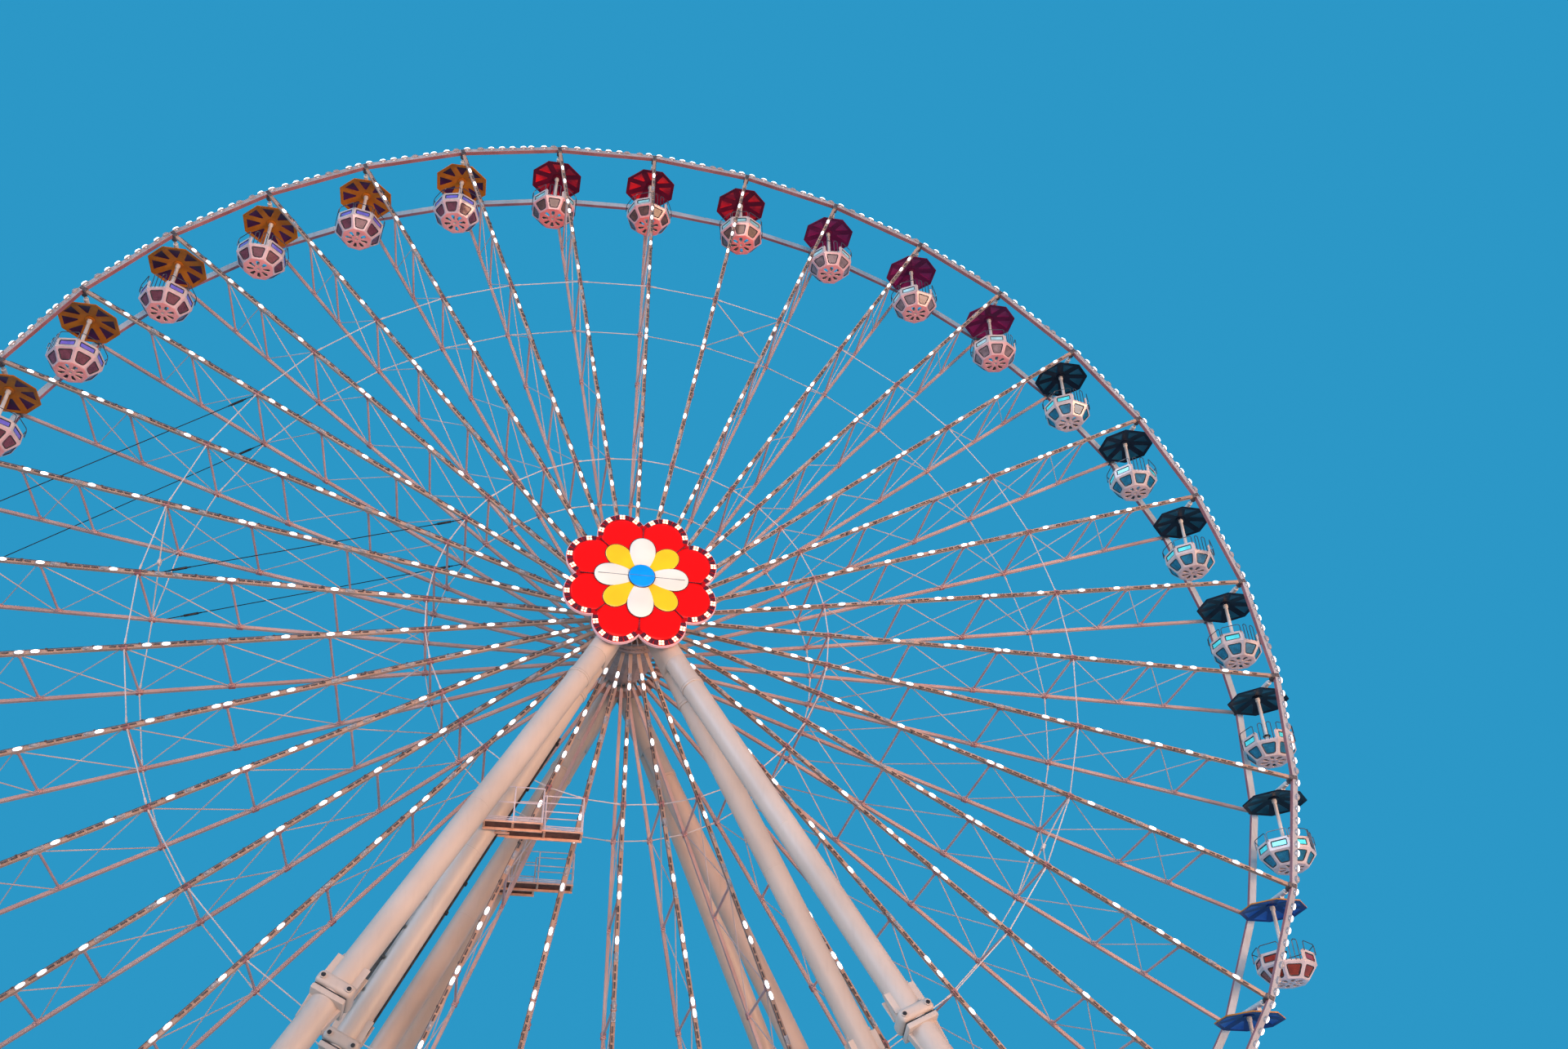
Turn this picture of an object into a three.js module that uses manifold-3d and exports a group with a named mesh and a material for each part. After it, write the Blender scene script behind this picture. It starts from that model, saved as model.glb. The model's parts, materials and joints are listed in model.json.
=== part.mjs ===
// A transportable ferris wheel with 36 open gondolas, as a 1:2 scale model.
// Millimetres, +Z up. The origin is on the ground, straight below the middle of the hub.
// The wheel turns about the Y axis, and its front, with the flower sign, faces -Y.
import * as THREE from 'three';
import { mergeVertices } from 'three/addons/utils/BufferGeometryUtils.js';
import Module from 'manifold-3d';

const wasm = await Module();
wasm.setup();

// Wheel
const spokeCount = 36;
const wheelRadius = 11250;
const hubHeight = 13390;
const rimSpacing = 1366;
const rimHeight = 134;
const rimDepth = 134;
const chordWidth = 79;
const chordDepth = 79;
const flangeRadius = 700;
const drumRadius = 480;

// Lattice between the front and the rear chords
const rungRadii = [0.87, 0.792, 0.668, 0.549, 0.413, 0.288].map((part) => part * wheelRadius);
const rungWidth = 40;
const diagonalFoot = 46;
const webThickness = 40;
const tieRadius = 0.668 * wheelRadius;
const tieWidth = 30;
const tieBite = 14;
const quarterCount = 4;

// Shaft and its bearings
const shaftRadius = 140;
const shaftSides = 16;
const shaftHalfLength = 1440;
const collarRadius = 260;
const bearingClearance = 6;
const headInnerFace = 1130;
const headOuterFace = 1500;
const headRadius = 330;

// Legs: two lean outwards on each side of each head, two stand in the plane of the head
const legRadius = 169;
const legSides = 12;
const stubSides = 8;
const headSide = 169;
const headY = 1294;
const headDrop = 394;
const leanFoot = { x: 6602, y: 5209 };
const planeFoot = { x: 6555, y: 1350 };
const stubLength = 1560;
const flangeThickness = 45;
const flangeOverhang = 35;
const couplingPlace = 7310;
const couplingLength = 620;
const couplingWidth = 400;
const footPlate = 720;
const footThickness = 70;

// Gondolas
const canopyRadius = 528;
const canopyLip = -150;
const canopyLipHeight = 22;
const canopyPeak = -12;
const canopyUnderPeak = -48;
const poleRadius = 34;
const tubRadius = 456;
const tubTop = -838;
const tubBandBottom = -1095;
const tubFloor = -1311;
const tubFloorRadius = 250;
const tubWall = 22;
const doorWidth = 270;
const hangerRadius = 28;
const hangerSides = 6;
const octagon = 8;

// How far each tub is turned about its pole, in degrees from the front towards the right
const tubTurns = [
  23, 167, -6, 12, 34, 14, -5, 6, 10, -34, 45, -14,
  8, -20, 30, 0, 12, -8, 25, 4, -30, 16, 0, -12,
  40, 6, -5, 18, -25, -100, -52, -12, 1, -123, 166, 0,
];

// Flower sign in front of the hub
const signBack = 1770;
const rosetteDepth = 70;
const rosetteRadius = 1240;
const rosetteValley = 1010;
const daisyDepth = 60;
const daisyRadius = 705;
const daisyValley = 400;
const daisyCentreRadius = 250;
const daisyCentreDepth = 40;
const petalCount = 8;
const bossRadius = 150;

// Service platforms at the left legs: a wide tray beside the leg and a narrow one before it
const platforms = {
  front: { z: -4050, wide: [-1672, -613], narrow: [-1985, -1176] },
  rear: { z: -3746, wide: [-1632, -535], narrow: [-1850, -1114] },
};
const wideTrayY = [1238, 1496];
const narrowTrayY = [1496, 1721];
const trayThickness = 50;
const bracketBite = 45;
const bracketWidth = 610;
const bracketDepth = 300;
const bracketHeight = 300;

// Gaps between pieces that touch
const gap = 0.3;
const runningGap = 0.4;

// Corners closer to a straight line than this are merged
const mergeWithin = 0.01;

const colours = { cream: 0xe9dfcf, steel: 0x9aa0a6, dark: 0x2c2a2e, red: 0xb5161c, white: 0xf2f0ea };

// Gondolas share a colour in groups of six, and the first group starts just left of the top
const gondolaColours = [0x8c1020, 0x0f4a5c, 0x1b4fa8, 0x4a1030, 0x3d1b46, 0xc06a1e];

function paint(colour, roughness = 0.5, metalness = 0.1) {
  return new THREE.MeshStandardMaterial({ color: colour, roughness, metalness });
}

// A closed solid for joining and cutting, turned so that its faces point out
function solid(geometry) {
  const plain = geometry.clone();
  plain.deleteAttribute('normal');
  plain.deleteAttribute('uv');
  const merged = mergeVertices(plain, 1e-4);
  const places = merged.getAttribute('position').array;
  const corners = Uint32Array.from(merged.getIndex().array);
  if (signedVolume(places, corners) < 0) {
    for (let i = 0; i < corners.length; i += 3) {
      [corners[i + 1], corners[i + 2]] = [corners[i + 2], corners[i + 1]];
    }
  }
  const mesh = new wasm.Mesh({ numProp: 3, vertProperties: Float32Array.from(places), triVerts: corners });
  return new wasm.Manifold(mesh);
}

function signedVolume(places, corners) {
  const a = new THREE.Vector3();
  const b = new THREE.Vector3();
  const c = new THREE.Vector3();
  let sum = 0;
  for (let i = 0; i < corners.length; i += 3) {
    a.fromArray(places, 3 * corners[i]);
    b.fromArray(places, 3 * corners[i + 1]);
    c.fromArray(places, 3 * corners[i + 2]);
    sum += a.dot(b.cross(c)) / 6;
  }
  return sum;
}

function geometryOf(manifold) {
  const mesh = manifold.asOriginal().simplify(mergeWithin).getMesh();
  const geometry = new THREE.BufferGeometry();
  geometry.setAttribute('position', new THREE.BufferAttribute(Float32Array.from(mesh.vertProperties), 3));
  geometry.setIndex(new THREE.BufferAttribute(Uint32Array.from(mesh.triVerts), 1));
  return geometry;
}

function join(solids) {
  return solids.reduce((whole, next) => whole.add(next));
}

function piece(name, manifold, material) {
  const mesh = new THREE.Mesh(geometryOf(manifold), material);
  mesh.name = name;
  return mesh;
}

// A straight tube with flat ends from a to b
function tube(a, b, radius, sides) {
  const along = new THREE.Vector3().subVectors(b, a);
  const geometry = new THREE.CylinderGeometry(radius, radius, along.length(), sides);
  const turn = new THREE.Quaternion().setFromUnitVectors(new THREE.Vector3(0, 1, 0), along.clone().normalize());
  geometry.applyQuaternion(turn);
  geometry.translate(...new THREE.Vector3().addVectors(a, b).multiplyScalar(0.5).toArray());
  return geometry;
}

// A straight bar of rectangular section from a to b, whose width lies along the given side
function beam(a, b, width, depth, side) {
  const along = new THREE.Vector3().subVectors(b, a);
  const z = along.clone().normalize();
  const x = side.clone().addScaledVector(z, -side.dot(z)).normalize();
  const y = new THREE.Vector3().crossVectors(z, x);
  const geometry = new THREE.BoxGeometry(width, depth, along.length());
  geometry.applyMatrix4(new THREE.Matrix4().makeBasis(x, y, z));
  geometry.translate(...new THREE.Vector3().addVectors(a, b).multiplyScalar(0.5).toArray());
  return geometry;
}

function block(low, high) {
  const size = new THREE.Vector3().subVectors(high, low);
  const middle = new THREE.Vector3().addVectors(low, high).multiplyScalar(0.5);
  return new THREE.BoxGeometry(size.x, size.y, size.z).translate(middle.x, middle.y, middle.z);
}

// A round plate or shaft about the Y axis
function disc(radius, fromY, toY, sides) {
  const length = toY - fromY;
  return new THREE.CylinderGeometry(radius, radius, length, sides).translate(0, (fromY + toY) / 2, 0);
}

// A plate with an outline in the XZ plane, from fromY to toY
function plate(shape, fromY, toY) {
  const geometry = new THREE.ExtrudeGeometry(shape, { depth: toY - fromY, bevelEnabled: false });
  return geometry.rotateX(Math.PI / 2).translate(0, toY, 0);
}

// The point at an angle from the top, clockwise as seen from the front
function polar(radius, angle) {
  return new THREE.Vector2(radius * Math.sin(angle), radius * Math.cos(angle));
}

// A regular outline, anticlockwise
function ring(radius, sides) {
  return Array.from({ length: sides }, (_, i) => polar(radius, (-i * 2 * Math.PI) / sides));
}

const step = (2 * Math.PI) / spokeCount;
const halfSpacing = rimSpacing / 2;
const chordInnerFace = halfSpacing - chordDepth / 2;

// Rims: straight box beams from node to node
function rim(name, middleY) {
  const shape = new THREE.Shape(ring(wheelRadius + rimHeight / 2, spokeCount));
  shape.holes.push(new THREE.Path(ring(wheelRadius - rimHeight / 2, spokeCount)));
  return piece(name, solid(plate(shape, middleY - rimDepth / 2, middleY + rimDepth / 2)), paint(colours.steel));
}

// Chords: 36 box tubes that run from the hub flange to the rim, in one plane
function spokes(name, middleY) {
  const half = chordWidth / 2;
  const rimInside = wheelRadius - rimHeight / 2;
  const tip = rimInside - half * Math.tan(step / 2) - gap;
  const outline = [];
  for (let k = 0; k < spokeCount; k += 1) {
    const out = polar(1, k * step);
    const across = new THREE.Vector2(out.y, -out.x);
    for (const [radius, side] of [[flangeRadius, -half], [tip, -half], [tip, half], [flangeRadius, half]]) {
      outline.push(out.clone().multiplyScalar(radius).addScaledVector(across, side));
    }
  }
  const shape = new THREE.Shape(outline.reverse());
  shape.holes.push(new THREE.Path(ring(shaftRadius + gap, shaftSides)));
  const body = solid(plate(shape, middleY - chordDepth / 2, middleY + chordDepth / 2));
  return piece(name, body, paint(colours.white));
}

// One flat web in the plane of the top spoke: rungs from chord to chord, and a diagonal in each bay.
// Its outline runs down the rear ends and back up the front ends.
function web() {
  const reach = chordInnerFace - gap;
  const half = rungWidth / 2;
  const down = [];
  const up = [];
  rungRadii.forEach((radius, i) => {
    down.push(new THREE.Vector2(reach, radius + half), new THREE.Vector2(reach, radius - half));
    up.push(new THREE.Vector2(-reach, radius + half), new THREE.Vector2(-reach, radius - half));
    if (i < rungRadii.length - 1) {
      down.push(new THREE.Vector2(diagonalFoot - reach, radius - half));
      up.push(new THREE.Vector2(reach - diagonalFoot, rungRadii[i + 1] + half));
    }
  });
  const shape = new THREE.Shape([...down, ...up.reverse()].reverse());
  const geometry = new THREE.ExtrudeGeometry(shape, { depth: webThickness, bevelEnabled: false });
  return geometry.rotateX(Math.PI / 2).rotateZ(Math.PI / 2).translate(-webThickness / 2, 0, 0);
}

// A quarter of the webs, held together by the tie rods of their front side
function trussWebs(index) {
  const perQuarter = spokeCount / quarterCount;
  const single = web();
  const parts = [];
  const tieY = tieWidth / 2 - (chordInnerFace - gap);
  for (let k = 0; k < perQuarter; k += 1) {
    parts.push(solid(single.clone().rotateY(k * step)));
    const bite = (webThickness / 2 - tieBite) / (2 * tieRadius * Math.sin(step / 2));
    const from = polar(tieRadius, k * step);
    const to = polar(tieRadius, (k + 1) * step);
    const a = new THREE.Vector3(from.x, tieY, from.y);
    const b = new THREE.Vector3(to.x, tieY, to.y);
    const start = a.clone().lerp(b, bite);
    const end = b.clone().lerp(a, bite);
    parts.push(solid(beam(start, end, tieWidth, tieWidth, new THREE.Vector3(0, 1, 0))));
  }
  const next = block(
    new THREE.Vector3(-webThickness / 2 - gap, -halfSpacing, 0),
    new THREE.Vector3(webThickness, halfSpacing, wheelRadius),
  ).rotateY(perQuarter * step);
  const mesh = piece(`truss_webs_${index + 1}`, join(parts).subtract(solid(next)), paint(colours.steel));
  mesh.rotation.y = index * perQuarter * step;
  return mesh;
}

function hubDrum() {
  const reach = chordInnerFace - gap;
  const drum = solid(disc(drumRadius, -reach, reach, shaftSides));
  return piece(
    'hub_drum',
    drum.subtract(solid(disc(shaftRadius + gap, -reach - 1, reach + 1, shaftSides))),
    paint(colours.white),
  );
}

function axle() {
  const collarFrom = halfSpacing + chordDepth / 2 + gap;
  const collarTo = headInnerFace - runningGap;
  return piece('axle', join([
    solid(disc(shaftRadius, -shaftHalfLength, shaftHalfLength, shaftSides)),
    solid(disc(collarRadius, -collarTo, -collarFrom, shaftSides)),
    solid(disc(collarRadius, collarFrom, collarTo, shaftSides)),
  ]), paint(colours.steel, 0.35, 0.8));
}

// Where a leg starts at its head and ends on the ground, from the middle of the hub
function legLine(side, face, foot) {
  const top = new THREE.Vector3(side * headSide, face * headY, -headDrop);
  const bottom = new THREE.Vector3(side * foot.x, face * foot.y, -hubHeight);
  const down = new THREE.Vector3().subVectors(bottom, top).normalize();
  return { top, bottom, down, at: (distance) => top.clone().addScaledVector(down, distance) };
}

// Bearing head: a round block with the stubs of its four legs
function head(name, face) {
  const parts = [solid(disc(headRadius, face * headInnerFace, face * headOuterFace, shaftSides))];
  for (const side of [-1, 1]) {
    for (const foot of [leanFoot, planeFoot]) {
      const line = legLine(side, face, foot);
      parts.push(solid(tube(line.at(-legRadius), line.at(stubLength), legRadius, stubSides)));
      const flange = tube(line.at(stubLength - flangeThickness), line.at(stubLength),
        legRadius + flangeOverhang, stubSides);
      parts.push(solid(flange));
    }
  }
  const bore = solid(disc(shaftRadius + bearingClearance, face * (headInnerFace - 1),
    face * (shaftHalfLength + bearingClearance), shaftSides));
  return piece(name, join(parts).subtract(bore), paint(colours.cream));
}

function legSolid(side, face, foot) {
  const line = legLine(side, face, foot);
  const start = stubLength + gap;
  const down = line.down;
  const across = new THREE.Vector3(0, 1, 0);
  const couplingFrom = line.at(couplingPlace - couplingLength / 2);
  const couplingTo = line.at(couplingPlace + couplingLength / 2);
  const middle = line.bottom;
  const half = footPlate / 2;
  const parts = [
    tube(line.at(start), line.bottom.clone().addScaledVector(down, legRadius), legRadius, legSides),
    tube(line.at(start), line.at(start + flangeThickness), legRadius + flangeOverhang, legSides),
    beam(couplingFrom, couplingTo, couplingWidth, couplingWidth, across),
    block(
      new THREE.Vector3(middle.x - half, middle.y - half, middle.z),
      new THREE.Vector3(middle.x + half, middle.y + half, middle.z + footThickness),
    ),
  ];
  const ground = block(
    new THREE.Vector3(middle.x - 2 * half, middle.y - 2 * half, middle.z - 2 * half),
    new THREE.Vector3(middle.x + 2 * half, middle.y + 2 * half, middle.z),
  );
  return join(parts.map(solid)).subtract(solid(ground));
}

// An eight-sided shape from the radius and height of each of its corners, with a flat side to the front
function octagonal(profile) {
  const points = profile.map(([radius, height]) => new THREE.Vector2(radius, height));
  return new THREE.LatheGeometry(points, octagon, Math.PI / octagon).rotateX(Math.PI / 2);
}

// Gondola: an octagonal canopy, a pole and an octagonal tub, hung on a cross shaft
function gondola(index) {
  const slope = (tubRadius - tubFloorRadius) / (tubBandBottom - tubFloor);
  const innerFloor = tubFloor + tubWall;
  const turn = THREE.MathUtils.degToRad(tubTurns[index]);
  const tub = octagonal([
    [0, tubFloor], [tubFloorRadius, tubFloor], [tubRadius, tubBandBottom], [tubRadius, tubTop],
    [tubRadius - tubWall, tubTop], [tubRadius - tubWall, tubBandBottom],
    [tubFloorRadius - tubWall + tubWall * slope, innerFloor], [0, innerFloor],
  ]).rotateZ(turn);
  const canopy = octagonal([
    [0, innerFloor - tubWall / 2], [poleRadius, innerFloor - tubWall / 2],
    [poleRadius, canopyUnderPeak], [canopyRadius, canopyLip], [canopyRadius, canopyLip + canopyLipHeight],
    [0, canopyPeak],
  ]);
  const hangerReach = halfSpacing - rimDepth / 2 - runningGap;
  const hanger = disc(hangerRadius, -hangerReach, hangerReach, hangerSides);
  const doorway = block(
    new THREE.Vector3(-doorWidth / 2, -tubRadius - tubWall, tubBandBottom + tubWall),
    new THREE.Vector3(doorWidth / 2, -tubRadius / 2, tubTop + tubWall),
  ).rotateZ(turn);
  const body = join([solid(tub).subtract(solid(doorway)), solid(canopy), solid(hanger)]);
  const name = `gondola_${String(index + 1).padStart(2, '0')}`;
  const group = Math.floor(((index + 1) % spokeCount) / gondolaColours.length);
  const mesh = piece(name, body, paint(gondolaColours[group]));
  const place = polar(wheelRadius, index * step);
  mesh.position.set(place.x, 0, place.y);
  return mesh;
}

// A flower outline: each petal is an arc between two valleys
function petals(tipRadius, valleyRadius, turn) {
  const points = [];
  const perPetal = 6;
  for (let i = 0; i < petalCount * perPetal; i += 1) {
    const across = (i % perPetal) / perPetal;
    const radius = valleyRadius + (tipRadius - valleyRadius) * Math.sin(Math.PI * across) ** 0.6;
    points.push(polar(radius, turn + ((i / perPetal) * 2 * Math.PI) / petalCount));
  }
  return new THREE.Shape(points);
}

function rosette() {
  const front = -signBack - rosetteDepth;
  const flower = solid(plate(petals(rosetteRadius, rosetteValley, 0), front, -signBack));
  const boss = solid(disc(bossRadius, -signBack - rosetteDepth / 2, -headOuterFace - gap, legSides));
  return piece('rosette', flower.add(boss), paint(colours.red));
}

function daisy() {
  const back = -signBack - rosetteDepth - gap;
  const halfPetal = Math.PI / petalCount;
  const flower = solid(plate(petals(daisyRadius, daisyValley, halfPetal), back - daisyDepth, back));
  const centre = solid(disc(daisyCentreRadius, back - daisyDepth - daisyCentreDepth, back - daisyDepth / 2, shaftSides));
  return piece('daisy', flower.add(centre), paint(colours.white));
}

// Two grating trays at the left leg that stands in the plane of the head, held by a saddle bracket
function platform(name, face, { z, wide, narrow }) {
  const line = legLine(-1, face, planeFoot);
  const legPlace = line.at((z - line.top.z) / line.down.z);
  const tray = ([fromX, toX], [nearY, farY]) => block(
    new THREE.Vector3(fromX, Math.min(face * nearY, face * farY), z - trayThickness),
    new THREE.Vector3(toX, Math.max(face * nearY, face * farY), z),
  );
  const bracket = block(
    new THREE.Vector3(legPlace.x - bracketBite, legPlace.y - bracketDepth / 2, z - trayThickness - bracketHeight),
    new THREE.Vector3(legPlace.x - bracketBite + bracketWidth, legPlace.y + bracketDepth / 2, z - trayThickness / 2),
  );
  const seat = tube(line.at(0), line.at(couplingPlace), legRadius + gap, legSides);
  const whole = join([tray(wide, wideTrayY), tray(narrow, narrowTrayY), bracket].map(solid)).subtract(solid(seat));
  return piece(name, whole, paint(colours.dark, 0.7, 0.4));
}

const ferrisWheel = new THREE.Group();
ferrisWheel.name = 'ferris_wheel';

const hub = new THREE.Group();
hub.position.z = hubHeight;
ferrisWheel.add(hub);

const turningWheel = new THREE.Group();
hub.add(turningWheel);
turningWheel.add(rim('rim_front', -halfSpacing), rim('rim_rear', halfSpacing));
turningWheel.add(spokes('spokes_front', -halfSpacing), spokes('spokes_rear', halfSpacing));
for (let index = 0; index < quarterCount; index += 1) {
  turningWheel.add(trussWebs(index));
}
turningWheel.add(hubDrum(), axle());
for (let index = 0; index < spokeCount; index += 1) {
  turningWheel.add(gondola(index));
}

hub.add(head('head_front', -1), head('head_rear', 1));
for (const [end, face] of [['front', -1], ['rear', 1]]) {
  for (const [hand, side] of [['left', -1], ['right', 1]]) {
    const cream = paint(colours.cream);
    hub.add(piece(`leg_${end}_${hand}_outer`, legSolid(side, face, leanFoot), cream));
    hub.add(piece(`leg_${end}_${hand}_inner`, legSolid(side, face, planeFoot), cream));
  }
}
hub.add(rosette(), daisy());
hub.add(platform('platform_front', -1, platforms.front), platform('platform_rear', 1, platforms.rear));

export default ferrisWheel;
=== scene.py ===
# A travelling ferris wheel as a 1:2 scale model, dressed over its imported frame.
# Metres, +Z up, the ground below the hub is the origin, and the wheel turns about the Y axis.
import bpy
import bmesh
import json
import math
import random
from mathutils import Matrix, Vector

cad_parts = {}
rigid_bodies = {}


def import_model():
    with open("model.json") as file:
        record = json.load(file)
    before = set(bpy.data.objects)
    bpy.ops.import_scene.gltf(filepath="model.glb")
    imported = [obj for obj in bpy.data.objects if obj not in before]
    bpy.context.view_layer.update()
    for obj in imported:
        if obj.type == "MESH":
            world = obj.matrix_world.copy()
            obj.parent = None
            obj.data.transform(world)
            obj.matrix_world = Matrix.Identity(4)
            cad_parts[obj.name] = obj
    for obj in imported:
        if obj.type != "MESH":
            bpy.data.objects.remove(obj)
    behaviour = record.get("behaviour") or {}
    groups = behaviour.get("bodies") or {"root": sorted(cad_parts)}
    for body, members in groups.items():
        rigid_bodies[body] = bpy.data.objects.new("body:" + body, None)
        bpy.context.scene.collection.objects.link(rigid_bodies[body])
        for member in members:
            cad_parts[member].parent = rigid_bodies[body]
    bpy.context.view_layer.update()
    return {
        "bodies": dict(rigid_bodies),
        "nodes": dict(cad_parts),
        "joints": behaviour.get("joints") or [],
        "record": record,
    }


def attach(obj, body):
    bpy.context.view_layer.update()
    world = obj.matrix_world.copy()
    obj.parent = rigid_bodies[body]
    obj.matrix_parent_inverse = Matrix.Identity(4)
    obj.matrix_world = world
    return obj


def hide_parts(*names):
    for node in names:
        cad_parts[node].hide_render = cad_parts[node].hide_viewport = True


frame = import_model()

# Rims. Two rings of straight steel box beams run from node to node. The front one is a slim square
# section, the rear one a deeper and thinner one. Both are grey, with painted red light on the inner faces.
hub = Vector((0, 0, 13.39))
spoke_count = 36
rim_radius = 11.25
rim_y = 0.683
rim_half = 0.067
rim_depth = {"front": 0.088, "rear": 0.118}
rim_width = {"front": 0.088, "rear": 0.072}


def new_finish(name):
    """A new material with its shader, a call that adds a node to it, and a call that feeds a node's
    sockets with values or with what other nodes give"""
    material = bpy.data.materials.new(name)
    material.use_nodes = True
    tree = material.node_tree

    def feed(node, sockets):
        for socket, value in sockets.items():
            if isinstance(value, bpy.types.NodeSocket):
                tree.links.new(value, node.inputs[socket])
            else:
                node.inputs[socket].default_value = value

    def add(kind, sockets, **settings):
        node = tree.nodes.new("ShaderNode" + kind)
        for setting, value in settings.items():
            setattr(node, setting, value)
        feed(node, sockets)
        return node

    return material, tree.nodes["Principled BSDF"], add, feed


def mottle(add, place, scale, low, high, detail=4.0):
    """Soft clouds that run from the low colour to the high one"""
    cloud = add("TexNoise", {"Vector": place, "Scale": scale, "Detail": detail})
    ramp = add("ValToRGB", {"Fac": cloud.outputs["Fac"]})
    for stop, position, colour in zip(ramp.color_ramp.elements, (0.36, 0.66), (low, high)):
        stop.position = position
        stop.color = (*colour, 1)
    return ramp.outputs["Color"]


def enamel(name, low, high, shine=0.38, grain=40.0, size=1.6, inner=None, streaks=0.25, metal=0.0):
    """Sprayed paint that the weather has worn: clouds of two close tones, rain runs, orange peel and an
    uneven gloss. With an inner colour, the faces that look at the hub take it as painted red light."""
    material, shader, add, feed = new_finish(name)
    place = add("TexCoord", {}).outputs["Object"]
    tone = mottle(add, place, size, low, high)
    if inner:
        middle = add("VectorMath", {0: place, 1: hub}, operation="SUBTRACT").outputs[0]
        flat = add("VectorMath", {0: middle, 1: (1, 0, 1)}, operation="MULTIPLY").outputs[0]
        outward = add("VectorMath", {0: flat}, operation="NORMALIZE").outputs[0]
        normal = add("NewGeometry", {}).outputs["Normal"]
        facing = add("VectorMath", {0: outward, 1: normal}, operation="DOT_PRODUCT").outputs["Value"]
        edge = add("MapRange", {"Value": facing, "From Min": -0.35, "From Max": -0.6}).outputs["Result"]
        # The inner colour is painted red lamp light on the faces that look at the hub.
        inside = mottle(add, place, 2.5, *inner)
        swap = add("Mix", {"Factor": edge, "A": tone, "B": inside}, data_type="RGBA")
        tone = swap.outputs["Result"]
    run = add("Mapping", {"Vector": place, "Scale": (9, 9, 0.9)}).outputs["Vector"]
    rain = add("TexNoise", {"Vector": run, "Scale": 2.2, "Detail": 2}).outputs["Fac"]
    dirt = add("MapRange", {"Value": rain, "From Min": 0.52, "From Max": 0.78, "To Max": streaks})
    soil = add("Mix", {"Factor": dirt.outputs["Result"], "A": tone, "B": (0.42, 0.36, 0.33, 1)},
               data_type="RGBA", blend_type="MULTIPLY")
    gloss = add("MapRange", {"Value": rain, "To Min": shine - 0.04, "To Max": shine + 0.10})
    peel = add("TexNoise", {"Vector": place, "Scale": grain}).outputs["Fac"]
    bump = add("Bump", {"Height": peel, "Strength": 0.05, "Distance": 0.002})
    feed(shader, {"Base Color": soil.outputs["Result"], "Roughness": gloss.outputs["Result"],
                  "Normal": bump.outputs["Normal"], "Metallic": metal})
    return material


def clear_selection():
    if bpy.context.object and bpy.context.object.mode != "OBJECT":
        bpy.ops.object.mode_set(mode="OBJECT")
    bpy.ops.object.select_all(action="DESELECT")


def take(*things):
    """Selects these objects alone, the first one active"""
    clear_selection()
    for thing in things:
        thing.select_set(True)
    bpy.context.view_layer.objects.active = things[0]


def weld(*things):
    """Joins pieces into one mesh whose place is in its points"""
    take(*things)
    bpy.ops.object.transform_apply(location=True, rotation=True, scale=True)
    if len(things) > 1:
        bpy.ops.object.join()
    return bpy.context.object


def shaped(thing, kind, **settings):
    """Adds one modifier to a piece and applies it"""
    take(thing)
    change = thing.modifiers.new(kind, kind)
    for setting, value in settings.items():
        setattr(change, setting, value)
    bpy.ops.object.modifier_apply(modifier=change.name)
    return thing


def rounded(thing, width, segments=1, angle=40):
    return shaped(thing, "BEVEL", width=width, segments=segments, limit_method="ANGLE",
                  angle_limit=math.radians(angle))


def ring_tube(outer, inner, length, place, sides=20):
    """A short bush about the Y axis with a hole through it"""
    clear_selection()
    bpy.ops.mesh.primitive_cylinder_add(vertices=sides, radius=outer, depth=length, end_fill_type="NOTHING",
                                        location=place, rotation=(math.pi / 2, 0, 0))
    return shaped(bpy.context.object, "SOLIDIFY", thickness=outer - inner, offset=-1)


def dress(thing, name, body, slot, *materials, lift=hub, smooth=None):
    """Sets a finished piece in place at the hub, gives it its name, finish and body"""
    thing.location = Vector(thing.location) + Vector(lift)
    weld(thing)
    if smooth:
        bpy.ops.object.shade_smooth_by_angle(angle=math.radians(smooth))
    thing.name = name
    thing.data.name = name
    while len(thing.data.materials) < len(materials):
        thing.data.materials.append(None)
    for number, material in enumerate(materials):
        thing.data.materials[number] = material
    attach(thing, body)
    return thing


# Both rims are grey; the dusty red for their inner faces is painted red lamp light.
rim_grey_and_painted_red_light = enamel("rim_grey_and_painted_red_light", (0.36, 0.31, 0.30), (0.48, 0.43, 0.42),
                   inner=((0.32, 0.10, 0.095), (0.44, 0.16, 0.15)))
rear_rim_grey_and_painted_red_light = enamel("rear_rim_grey_and_painted_red_light", (0.40, 0.41, 0.42), (0.52, 0.52, 0.53),
                        inner=((0.30, 0.085, 0.09), (0.42, 0.14, 0.14)))
for end, side, paint in (("front", -1, rim_grey_and_painted_red_light), ("rear", 1, rear_rim_grey_and_painted_red_light)):
    outer = rim_radius + rim_half
    beams = ring_tube(outer, outer - rim_depth[end], rim_width[end], (0, side * rim_y, 0), sides=spoke_count)
    beams = dress(rounded(weld(beams), 0.005), f"rim_{end}_beams", "wheel", "white_steel", paint)
    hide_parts(f"rim_{end}")

# Node clamps. A cast clamp sits under each bend of both rims, where a spoke ends, with four bolts.
# Its inner side carries the plain bearing in which a gondola's cross shaft turns.
def block(size, place, turn=(0, 0, 0), edge=0.0, segments=1):
    """A box, with its edges eased where an edge is given"""
    clear_selection()
    bpy.ops.mesh.primitive_cube_add(size=1, location=place, rotation=turn)
    thing = bpy.context.object
    thing.scale = size
    bpy.ops.object.transform_apply(location=False, rotation=False, scale=True)
    return rounded(thing, edge, segments) if edge else thing


def drum(radius, length, place, axis="Y", sides=24, edge=0.0, segments=1):
    """A round bar or plate about one of the main axes"""
    clear_selection()
    turn = {"X": (0, math.pi / 2, 0), "Y": (math.pi / 2, 0, 0), "Z": (0, 0, 0)}[axis]
    bpy.ops.mesh.primitive_cylinder_add(vertices=sides, radius=radius, depth=length, location=place,
                                        rotation=turn)
    thing = bpy.context.object
    return rounded(thing, edge, segments) if edge else thing


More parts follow.
